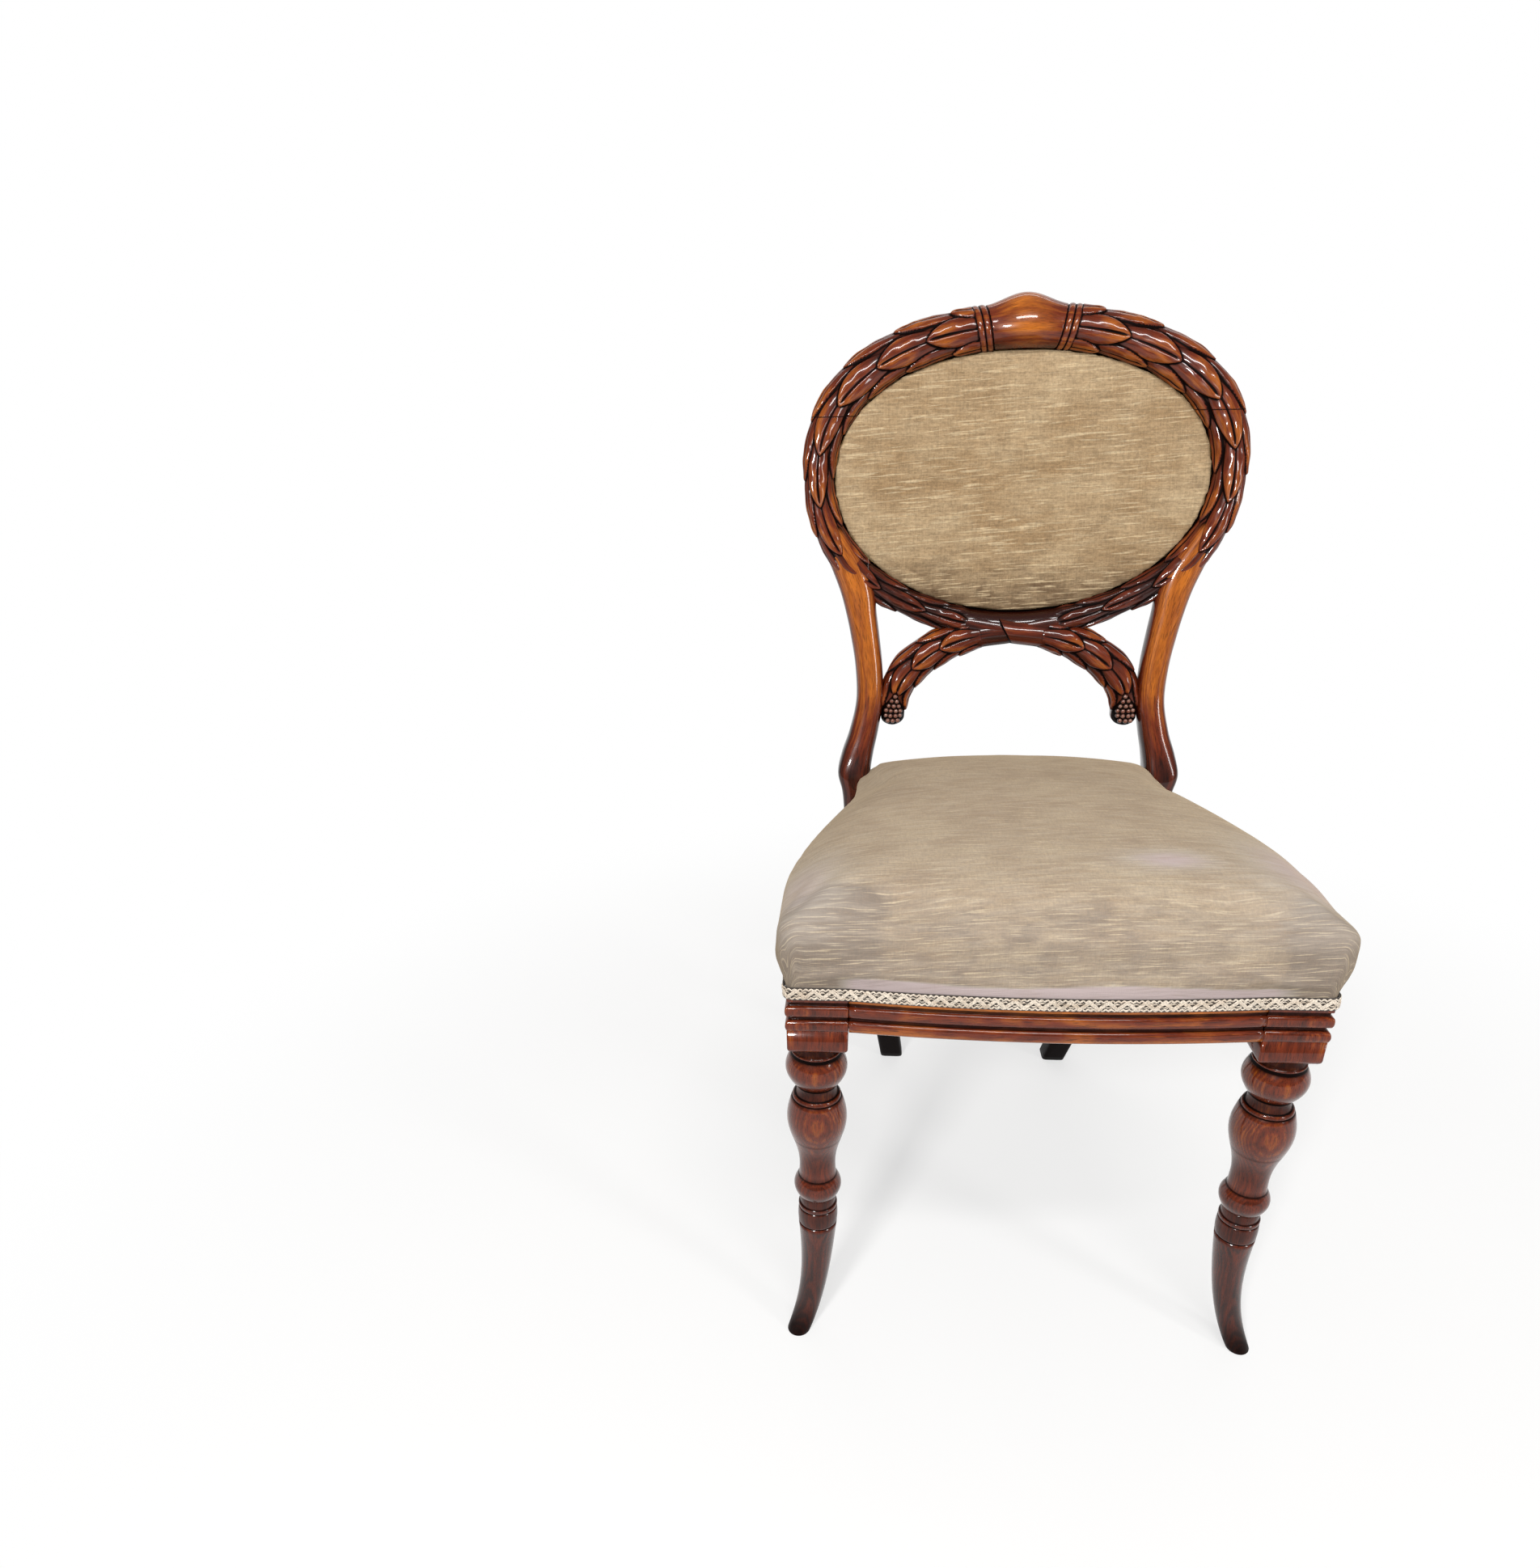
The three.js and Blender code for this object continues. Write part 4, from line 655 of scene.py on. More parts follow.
# each run of the turning: where it ends, its radii there, its belly and how dark it is stained
TURNING = (
    (0.9756, 0.7, 0.76, -0.02, 0.5), (0.972, 0.8, 0.8, 0, 0.2), (0.8674, 0.76, 0.69, 0.27, 0),
    (0.8354, 0.68, 0.69, -0.03, 0.42), (0.825, 0.76, 0.79, 0.02, 0.2), (0.689, 0.82, 0.82, 0.17, 0),
    (0.558, 0.82, 0.63, -0.1, 0), (0.4893, 0.63, 0.68, 0.15, 0), (0.485, 0.58, 0.58, 0, 1),
    (0.4543, 0.61, 0.61, 0.01, 0.3), (0.4436, 0.66, 0.66, 0.01, 0.1), (0.4405, 0.6, 0.6, 0, 1),
    (0.3872, 0.66, 0.67, 0.02, 0.26), (0.3841, 0.635, 0.635, 0, 1), (0, 0.67, 0.41, -0.04, 0),
)


def turning(l):
    """The turned leg under the plinth of the right front leg, with its foot kicked outwards."""
    heights, radii, stains = [], [], []
    start = 1.0
    for end, r0, r1, belly, stain in TURNING:
        steps = 26 if end == 0 else 3 if belly == 0 else 12
        t = np.linspace(0.02 if end else 0, 0.98 if end else 1, steps)
        heights += list(start + (end - start) * t)
        radii += list(r0 + (r1 - r0) * t + belly * np.sin(math.pi * t))
        stains += [stain] * steps
        start = end
    z, r = l.height * np.array(heights), l.radius * np.array(radii)
    z[0] = l.height + 2 * MM
    round_off = np.linspace(0, math.pi / 2, 6)[1:]
    z = np.concatenate([z[:-1], 1.5 * MM * (1 - np.sin(round_off))])
    r = np.concatenate([r[:-1], r[-1] - 1.5 * MM * (1 - np.cos(round_off))])
    stain = np.array(stains[:-1] + [0.5] * 5)
    kick = np.clip((l.kick_height - z) / l.kick_height, 0, 1) ** 5
    notch = np.clip(np.convolve(np.pad(r, 2, mode="edge"), np.ones(5) / 5, "valid") - r, 0, None) / (0.8 * MM)
    worn_end = 0.55 * smoothstep(z, 0.05, 0.0)
    recess = np.clip(np.maximum(np.maximum(stain, notch), worn_end), 0, 1)
    angle = np.arange(l.sides) * 2 * math.pi / l.sides
    axis = bpy.context.scene.chair_seat.leg_axis
    lean = l.lean * (l.height - z) / l.height
    z, r, kick, lean = (v[:, None] for v in (z, r, kick, lean))
    x = axis + l.out + l.kick_x * kick + r * np.cos(angle)
    y = lean - LEG_LINE - l.out - l.kick_y * kick + r * np.sin(angle)
    tone = 0.08 + 0.32 * smoothstep(z, 0.03, 0.26)
    return wooden("turning", np.stack([x, y, z + 0 * x], -1), recess[:, None], tone, (z, x - axis, y + LEG_LINE))


# moulding from its lower edge upwards: heights over the whole, and distance out of the face over its depth
MOULD_UP = (0, 0.05, 0.16, 0.28, 0.335, 0.35, 0.44, 0.46, 0.475, 0.57, 0.69, 0.74, 0.78, 0.86, 0.885, 0.9, 1)
MOULD_OUT = (-0.5, 0.0, 0.27, 0.05, -0.6, -1, -1, -0.6, 0, 0.27, 0.2, -0.1, -0.7, -0.7, -0.4, -0.2, -0.2)


def moulding(s):
    """Heights and distances out of the face, with the stain that lies in the hollows."""
    place = np.linspace(0, len(MOULD_UP) - 1, 65)
    up = np.maximum.accumulate(smooth_at(MOULD_UP, place))
    out = smooth_at(MOULD_OUT, place)
    stain = 0.52 * smoothstep(-out, 0.25, 0.75)
    return s.rail_bottom + s.mould_height * up, s.mould_depth * out, stain


def eased_square(x0, x1, y0, y1, z):
    """Level ring round a square post, its corners just eased."""
    r, ring = 1.4 * MM, []
    for quarter, (x, y) in enumerate(((x1 - r, y1 - r), (x0 + r, y1 - r), (x0 + r, y0 + r), (x1 - r, y0 + r))):
        for a in np.linspace(0, math.pi / 2, 4) + quarter * math.pi / 2:
            ring.append((x + r * math.cos(a), y + r * math.sin(a), z))
    return ring


def square_part(name, rings, recess):
    """A square part of a front leg, its grain upright."""
    x, y, z = np.moveaxis(np.array(rings), -1, 0)
    return wooden(name, rings, np.array(recess)[:, None], 0.36, (z, x, y))


def block(s):
    """Moulded square block of the right front leg."""
    z, out, stain = moulding(s)
    top = s.rail_bottom + s.mould_height
    z = np.concatenate([z, [top, s.rail_top]])
    out = np.concatenate([out, [-s.rebate] * 2])
    half = s.block / 2
    rings = [eased_square(s.leg_axis - half, s.leg_axis + half + o, -LEG_LINE - half - o, -LEG_LINE + half, height)
             for height, o in zip(z, out)]
    return square_part("block", rings, [*stain, 1, 1])


def plinth(s, l):
    """Plain square plinth under the moulded block."""
    radius = 4.5 * MM
    round_off = [(l.plinth - radius * (1 - math.sin(a)), l.height + radius * (1 - math.cos(a)))
                 for a in np.linspace(0, math.pi / 2, 6)]
    rings = [eased_square(s.leg_axis - half, s.leg_axis + half, -LEG_LINE - half, -LEG_LINE + half, z)
             for half, z in (*round_off, (l.plinth, s.rail_bottom + 1 * MM))]
    return square_part("plinth", rings, [0.5, 0.2, 0, 0, 0, 0, 0])


def front_face(s, x):
    return -LEG_LINE - s.block / 2 - s.front_bow * (1 - np.minimum(np.abs(x) / (s.leg_axis - s.block / 2), 1) ** 2)


def side_face(s, y):
    front = s.leg_axis + s.block / 2
    return front + (s.rear_half_width - front) * smoothstep(y + LEG_LINE, 40 * MM, 320 * MM)


def rail(s, name, stations, place, tone):
    """A moulded rail along its stations; place turns a station, a distance out and a height to a point."""
    z, out, stain = moulding(s)
    top = s.rail_bottom + s.mould_height
    z = np.concatenate([z, [top, s.rail_top, s.rail_top, s.rail_bottom]])
    out = np.concatenate([out, [-s.rebate, -s.rebate, -s.rail_thickness, -s.rail_thickness]])
    stain = np.concatenate([stain, [1, 1, 0.3, 0.3]])
    rings = np.array([[place(t, o, h) for o, h in zip(out, z)] for t in stations])
    across = np.cumsum(np.hypot(np.diff(out, prepend=out[0]), np.diff(z, prepend=z[0])))
    up = (z - s.rail_bottom) / s.mould_height
    lit = 0.4 * smoothstep(up, 0.78, 0.88) + 0.36 * smoothstep(up, 0.2, 0.06) + 0.12 * smoothstep(up, 0.5, 0.6)
    return wooden(name, rings, stain, tone + lit, (stations[:, None], across, tone))


# ---------------------------------------------------------------- padded seat and back

SWELL_UP = (0, 0.11, 0.25, 0.4, 0.54, 0.65, 0.735)
SWELL_OUT = (0.05, 0.3, 0.65, 0.92, 1, 0.84, 0.25)
CORNER_FULLNESS, FRONT_FULLNESS, REAR_FULLNESS, REAR_CORNER = 11 * MM, 6 * MM, 4 * MM, 33 * MM


def seat_plan(s, points):
    """Outline of the seat on the faces of its rails, from the middle of the front, with its outward sides."""
    front_end, corner = s.leg_axis - s.block / 2, 6 * MM
    corner_x, corner_y = s.leg_axis + s.block / 2 - corner, -LEG_LINE - s.block / 2 + corner
    rear = s.cushion_rear - LEG_LINE
    side_end, rear_x = rear - REAR_CORNER, s.rear_half_width - 24 * MM
    half = [(x, float(front_face(s, x))) for x in np.linspace(0, front_end, 40)]
    half += [(corner_x + corner * math.sin(a), corner_y - corner * math.cos(a))
             for a in np.linspace(0, math.pi / 2, 8)]
    half += [(float(side_face(s, y)), y) for y in np.linspace(-LEG_LINE + 25 * MM, side_end, 60)]
    p0, p2 = half[-1], (rear_x, rear)
    p1 = (p0[0], rear)
    half += [tuple((1 - t) ** 2 * a + 2 * t * (1 - t) * b_ + t * t * c for a, b_, c in zip(p0, p1, p2))
             for t in np.linspace(0.1, 1, 10)]
    half += [(x, rear) for x in np.linspace(rear_x, 0, 16)[1:]]
    whole = np.array(half + [(-x, y) for x, y in half[-2:0:-1]])
    closed = np.vstack([whole, whole[:1]])
    run = lengths_along(closed)
    at = np.arange(points) / points * run[-1]
    plan = np.stack([np.interp(at, run, closed[:, i]) for i in (0, 1)], 1)
    along = np.roll(plan, -1, 0) - np.roll(plan, 1, 0)
    out = np.stack([along[:, 1], -along[:, 0]], 1)
    return plan, out / np.linalg.norm(out, axis=1)[:, None]


def tack_line(s):
    """Height just over the moulding, where the cloth is tacked and the braid's lower edge lies."""
    return s.rail_bottom + s.mould_height + 0.3 * MM


def seat_form(s, inset):
    """Rings of the stuffed seat from the tack line to the crown, drawn in by an inset."""
    plan, out = seat_plan(s, 260)
    side_end = s.cushion_rear - LEG_LINE - REAR_CORNER
    swell = s.swell * (1 - smoothstep(plan[:, 1], side_end - 170 * MM, side_end))
    beside_leg = smoothstep(plan[:, 1], side_end - 90 * MM, side_end - 30 * MM) * (
        1 - smoothstep(plan[:, 1], side_end, side_end + 12 * MM))
    swell = np.maximum(swell, REAR_FULLNESS * beside_leg)
    corner = smoothstep(np.abs(plan[:, 0]), 0.06, 0.2) * smoothstep(-plan[:, 1], -0.14, 0.17)
    full = np.maximum(CORNER_FULLNESS * corner, FRONT_FULLNESS * smoothstep(-plan[:, 1], 0.15, 0.24))
    bottom = tack_line(s)
    rise = s.cushion_top - bottom
    rings = []
    for t in np.linspace(0, len(SWELL_UP) - 1, 19):
        up, by = float(smooth_at(SWELL_UP, t)), float(smooth_at(SWELL_OUT, t))
        low, high = float(smoothstep(up, 0.1, 0.4)), float(smoothstep(up, 0.24, 0.45))
        drawn_in = 0.6 * s.rebate + (inset - 0.6 * s.rebate) * high
        at = plan + out * ((swell + full * low) * by - drawn_in)[:, None]
        z = np.full(len(plan), bottom + rise * up - inset * max(0, up - 0.54) * 3)
        rings.append(np.column_stack([at, z]))
    shoulder, middle = rings[-1], np.array([0, 162 * MM - LEG_LINE])
    reach = np.linalg.norm(shoulder[:, :2] - middle, axis=1)
    for scale, up in ((0.97, 0.775), (0.92, 0.83), (0.83, 0.89), (0.7, 0.94), (0.54, 0.973), (0.36, 0.99),
                      (0.2, 0.997), (0.08, 1)):
        even = s.rear_half_width * scale / reach
        round_share = 0.95 * (1 - scale)
        k = (scale * (1 - round_share) + even * round_share)[:, None]
        at = middle + (shoulder[:, :2] - middle) * k
        rings.append(np.column_stack([at, np.full(len(plan), bottom + rise * up - inset)]))
    rings = np.array(rings)
    stuffing = s.rail_top + 6 * MM
    up = np.clip((rings[..., 2] - stuffing) / (s.cushion_top - stuffing), 0, None)
    back = smoothstep(rings[..., 1] + LEG_LINE, 200 * MM, s.cushion_rear)
    rings[..., 2] -= s.fall * (rings[..., 0] / s.rear_half_width) ** 2 * back * up
    return rings


def pad_form(b, inset):
    """Rings of the back pad from its hidden edge to its crown."""
    turn = np.arange(128) / 128 * 2 * math.pi
    x, z = oval(b, turn)
    out_x, out_z = wreath_line(b, turn)[2:4]
    x, z = x - out_x * inset, z - out_z * inset
    rings = []
    for scale, behind in ((0.5, LIP_FRONT), (0.9, LIP_FRONT), (0.985, LIP_FRONT - 0.8 * MM)):
        rings.append(on_back(b, x * scale, b.oval_height + (z - b.oval_height) * scale, behind))
    for scale in (1, 0.995, 0.98, 0.95, 0.9, 0.82, 0.72, 0.58, 0.42, 0.24, 0.08):
        rise = 1.0 * MM + (b.crown - inset) * math.sqrt(1 - scale ** 2)
        rings.append(on_back(b, x * scale, b.oval_height + (z - b.oval_height) * scale, -rise))
    return np.array(rings)


def plumped(piece, held, cap, voxel=5 * MM, pressure=4.0, steady=2.0):
    """Fill a pad with air by cloth simulation; held(points) is 1 where the cloth is fastened."""
    scene = bpy.context.scene
    with bpy.context.temp_override(active_object=piece, object=piece, selected_objects=[piece]):
        piece.data.remesh_voxel_size = voxel
        bpy.ops.object.voxel_remesh()
    start = np.array([v.co for v in piece.data.vertices])
    group = piece.vertex_groups.new(name="fastened")
    weights = held(start)
    for i, weight in enumerate(weights):
        if weight > 0:
            group.add([i], float(weight), "REPLACE")
    cloth = piece.modifiers.new("cloth", "CLOTH")
    cloth.settings.use_pressure = True
    cloth.settings.uniform_pressure_force = pressure
    cloth.settings.vertex_group_mass = "fastened"
    cloth.settings.effector_weights.gravity = 0
    cloth.settings.tension_stiffness = cloth.settings.compression_stiffness = 12
    cloth.settings.bending_stiffness = 2
    cloth.settings.quality = 5
    cloth.point_cache.frame_start, cloth.point_cache.frame_end = 1, 20
    for step in range(1, 21):
        scene.frame_set(step)
    evaluated = piece.evaluated_get(bpy.context.evaluated_depsgraph_get())
    end = np.array([v.co for v in evaluated.data.vertices])
    piece.modifiers.remove(cloth)
    scene.frame_set(1)
    move = end - start
    far = np.linalg.norm(move, axis=1)
    move *= (np.minimum(far, cap) / np.maximum(far, 1e-9))[:, None]
    piece.data.vertices.foreach_set("co", (start + move).ravel())
    piece.vertex_groups.clear()
    bm = bmesh.new()
    bm.from_mesh(piece.data)
    for _ in range(3):
        loose = [v for v, weight in zip(bm.verts, weights) if weight < steady]
        bmesh.ops.smooth_vert(bm, verts=loose, factor=0.5, use_axis_x=True, use_axis_y=True, use_axis_z=True)
    bm.to_mesh(piece.data)
    bm.free()
    piece.data.update()


def subdivided(piece):
    """One more level of facets, made part of the mesh."""
    piece.modifiers.new("finer", "SUBSURF").levels = 1
    piece.modifiers["finer"].render_levels = 1
    take_result(piece)


def take_result(piece):
    """Turn what the modifiers make into the piece's own plain mesh."""
    graph = bpy.context.evaluated_depsgraph_get()
    graph.update()
    mesh = bpy.data.meshes.new_from_object(piece.evaluated_get(graph))
    old = piece.data
    piece.modifiers.clear()
    piece.data = mesh
    mesh.name = piece.name
    bpy.data.meshes.remove(old)


# ---------------------------------------------------------------- node trees for what repeats

class Tree:
    """A geometry node tree with named inputs, hung on a piece as a modifier."""

    def __init__(self, name, **inputs):
        self.tree = bpy.data.node_groups.new(name, "GeometryNodeTree")
        face = self.tree.interface
        face.new_socket("Geometry", in_out="INPUT", socket_type="NodeSocketGeometry")
        self.names = {}
        for key, value in inputs.items():
            kind = "Int" if isinstance(value, int) else "Float"
            if isinstance(value, bpy.types.Material):
                kind = "Material"
            socket = face.new_socket(key.replace("_", " "), in_out="INPUT", socket_type="NodeSocket" + kind)
            self.names[key] = socket.identifier
        face.new_socket("Geometry", in_out="OUTPUT", socket_type="NodeSocketGeometry")
        self.values = inputs
        sockets = self.tree.nodes.new("NodeGroupInput").outputs
        self.input = dict(zip(["Geometry", *inputs], sockets))

    def add(self, kind, *values, **options):
        return node(self.tree, kind, *values, **options)

    def run(self, piece, result):
        """End the tree, give the modifier its values and keep what it makes as a plain mesh."""
        real = self.add("GeometryNodeRealizeInstances", result)
        painted = self.add("GeometryNodeSetMaterial", real, Material=self.input["Material"])
        self.add("NodeGroupOutput", painted)
        modifier = piece.modifiers.new(self.tree.name, "NODES")
        modifier.node_group = self.tree
        for key, value in self.values.items():
            modifier[self.names[key]] = value
        take_result(piece)


def guide(name, points, facing=None, line=False):
    """Points, or a line through them, for a tree to follow, with the way that each one faces."""
    edges = [(i, i + 1) for i in range(len(points) - 1)] if line else ()
    return new_object(name, points, (), {} if facing is None else {"facing": facing}, edges=edges)


def berry_cluster(b, name, sign):
    """Berries on a tail's end, each a little different in size."""
    centres = berry_places(b) * (sign, 1, 1)
    piece = guide(name, centres)
    t = Tree("Berries", Diameter=b.berry_diameter, Variation=0.12, Seed=7, Material=material("berry_gloss"))
    radius = t.add("ShaderNodeMath:DIVIDE", t.input["Diameter"], 2.0)
    ball = t.add("GeometryNodeMeshIcoSphere", radius, Subdivisions=3)
    low = t.add("ShaderNodeMath:SUBTRACT", 1.0, t.input["Variation"])
    size = t.add("FunctionNodeRandomValue", low, 1.0, data_type="FLOAT", Seed=t.input["Seed"])
    t.run(piece, t.add("GeometryNodeInstanceOnPoints", t.input["Geometry"], Instance=ball, Scale=size))
    return piece


CORD_WEAVE = 0.12 * MM      # how far a cord weaves in and out of the braid


def braid_path(s):
    """The braid's line round the seat's front and sides, with its outward sides."""
    plan, out = seat_plan(s, 900)
    start = int(np.argmax((plan[:, 1] > s.cushion_rear - LEG_LINE - 40 * MM) & (plan[:, 0] > 0)))
    half = np.arange(-start, start + 1)
    return plan[half], out[half]


def cord_wave(t, path, pitch, high, thick, base, proud, sides, phase=0.0, zigzag=False):
    """One cord that swings up and down along a path and stands proud of it."""
    curve, facing, place = path
    turn = t.add("ShaderNodeMath:MULTIPLY_ADD", t.add("ShaderNodeMath:DIVIDE", place, pitch), 2 * math.pi, phase)
    swing = t.add("ShaderNodeMath:SINE", turn)
    if zigzag:
        swing = t.add("ShaderNodeMath:MULTIPLY", t.add("ShaderNodeMath:ARCSINE", swing), 2 / math.pi)
    up = t.add("ShaderNodeCombineXYZ", Z=t.add("ShaderNodeMath:MULTIPLY_ADD", swing, high, base))
    out = t.add("ShaderNodeMath:MULTIPLY_ADD", t.add("ShaderNodeMath:COSINE", turn), CORD_WEAVE, proud)
    offset = t.add("ShaderNodeVectorMath:MULTIPLY_ADD", facing, out, up)
    line = t.add("GeometryNodeSetPosition", curve, Offset=offset)
    ring = t.add("GeometryNodeCurvePrimitiveCircle", sides, thick, mode="RADIUS")
    cord = t.add("GeometryNodeCurveToMesh", line, ring, Fill_Caps=True)
    return t.add("GeometryNodeStoreNamedAttribute", cord, data_type="FLOAT", domain="POINT", Name="raised", Value=1.0)


def gimp(s, name, path, out):
    """Gimp braid: a dark band under a zigzag of three cords and small fans, with a scalloped cord at each edge."""
    middle = tack_line(s) + s.braid_height / 2
    start = np.column_stack([path + out * 1.7 * MM, np.full(len(path), middle)])
    piece = guide(name, start, np.column_stack([out, np.zeros(len(out))]), line=True)
    t = Tree("Gimp braid", Height=s.braid_height, Zigzag_pitch=s.braid_pitch, Cord_radius=s.cord / 2,
             Edge_pitch=4.4 * MM, Edge_radius=0.8 * MM, Step=0.7 * MM, Material=material("braid_cord"))
    height, pitch, radius, edge_radius = (t.input[key] for key in
                                          ("Height", "Zigzag_pitch", "Cord_radius", "Edge_radius"))

    def times(value, by):
        return t.add("ShaderNodeMath:MULTIPLY", value, by)

    facing = t.add("GeometryNodeInputNamedAttribute", data_type="FLOAT_VECTOR", Name="facing")
    curve = t.add("GeometryNodeResampleCurve", t.add("GeometryNodeMeshToCurve", t.input["Geometry"]), mode="LENGTH",
                  Length=t.input["Step"])
    path = curve, facing, t.add("GeometryNodeSplineParameter", out="Length")
    half = times(height, 0.5)
    swing = t.add("ShaderNodeMath:SUBTRACT", half, times(radius, 3.6))
    parts = [cord_wave(t, path, pitch, swing, radius, times(radius, strand), 0.75 * MM, 6, zigzag=True)
             for strand in (-1.7, 0.0, 1.7)]
    parts += [cord_wave(t, path, pitch, times(swing, reach), times(radius, 0.85), times(radius, strand), 0.15 * MM, 4,
                        phase=math.pi)
              for reach, strand in ((0.9, 1.2), (0.45, 0.0), (0.9, -1.2))]
    edge = t.add("ShaderNodeMath:SUBTRACT", half, times(edge_radius, 2.1))
    parts += [cord_wave(t, path, t.input["Edge_pitch"], 0.75 * MM, edge_radius, times(edge, side), 0.3 * MM, 5)
              for side in (1.0, -1.0)]
    band = t.add("GeometryNodeCurvePrimitiveQuadrilateral", 1.0 * MM,
                 t.add("ShaderNodeMath:SUBTRACT", height, 0.1 * MM))
    parts.append(t.add("GeometryNodeCurveToMesh", curve, band, Fill_Caps=True))
    t.run(piece, t.add("GeometryNodeJoinGeometry", parts))
    return piece


def plan_area(points):
    x, y = points[:, 0], points[:, 1]
    return abs(np.dot(x, np.roll(y, -1)) - np.dot(y, np.roll(x, -1))) / 2


def bottoming(s, name):
    """Black cloth tacked under the rails, with a slight sag and a turned hem."""
    plan, out = seat_plan(s, 240)
    rim = plan - out * 10 * MM
    underside, sag, hem, thickness = s.rail_bottom - 1.3 * MM, 2.2 * MM, 0.5 * MM, 1.0 * MM
    shares = [1, 0.99, 0.955, 0.93, 0.86, 0.75, 0.6, 0.45, 0.3, 0.15, 0.05]
    rings = []
    middle = rim.mean(0)
    for upper, order in ((False, shares[::-1]), (True, shares)):
        for k in order:
            z = underside - sag * (1 - k * k) + (thickness if upper else -hem * (k > 0.95))
            rings.append(np.column_stack([middle + (rim - middle) * k, np.full(len(rim), z)]))
    return skin(name, np.array(rings), material=material("cambric")), rim


def tack_heads(name, places, facing):
    """Domed tack heads, one on each place."""
    piece = guide(name, places, facing)
    t = Tree("Tack heads", Radius=3.2 * MM, Rise=0.45, Material=material("blued_steel"))
    ball = t.add("GeometryNodeMeshUVSphere", 12, 8, t.input["Radius"])
    facing = t.add("GeometryNodeInputNamedAttribute", data_type="FLOAT_VECTOR", Name="facing")
    turn = t.add("FunctionNodeAlignRotationToVector", axis="Z", Vector=facing)
    size = t.add("ShaderNodeCombineXYZ", 1.0, 1.0, t.input["Rise"])
    t.run(piece, t.add("GeometryNodeInstanceOnPoints", t.input["Geometry"], Instance=ball, Rotation=turn, Scale=size))
    return piece


def evenly(points, pitch):
    """Places a pitch apart along a closed outline."""
    ring = np.vstack([points, points[:1]])
    run = lengths_along(ring)
    count = max(2, round(run[-1] / pitch))
    at = (np.arange(count) + 0.5) / count * run[-1]
    return np.stack([np.interp(at, run, ring[:, i]) for i in range(ring.shape[1])], 1)


def outside_back(b, name):
    """Cloth over the back of the oval, stretched flat behind the padding and turned in at its rim."""
    turn = np.arange(160) / 160 * 2 * math.pi
    x, z = oval(b, turn)
    out_x, out_z = wreath_line(b, turn)[2:4]
    x, z = x - out_x * 1.8 * MM, z - out_z * 1.8 * MM
    rings = []
    for scale, behind in ((0.05, 8.4), (0.3, 8.4), (0.6, 8.4), (0.9, 8.4), (0.985, 8.4), (0.998, 8.6),
                          (0.998, 9.2), (0.985, 9.4), (0.9, 9.4), (0.6, 9.4), (0.3, 9.4), (0.05, 9.4)):
        rings.append(on_back(b, x * scale, b.oval_height + (z - b.oval_height) * scale, behind * MM))
    return skin(name, np.array(rings), material=material("velvet"))


# ---------------------------------------------------------------- materials
# Each maker gets the chair's colours and a function that adds a node; it returns the shader's sockets.

RING_WIDTH = 2.8 * MM


def pattern(add, where, size, detail, rough, distortion=0.0):
    """Blotches or streaks on coordinates in metres; size is what one takes each way, in millimetres."""
    spread = add("Mapping", where, Scale=tuple(1000 / side for side in size))
    return add("TexNoise", spread, Scale=1.0, Detail=detail, Roughness=rough, Distortion=distortion)


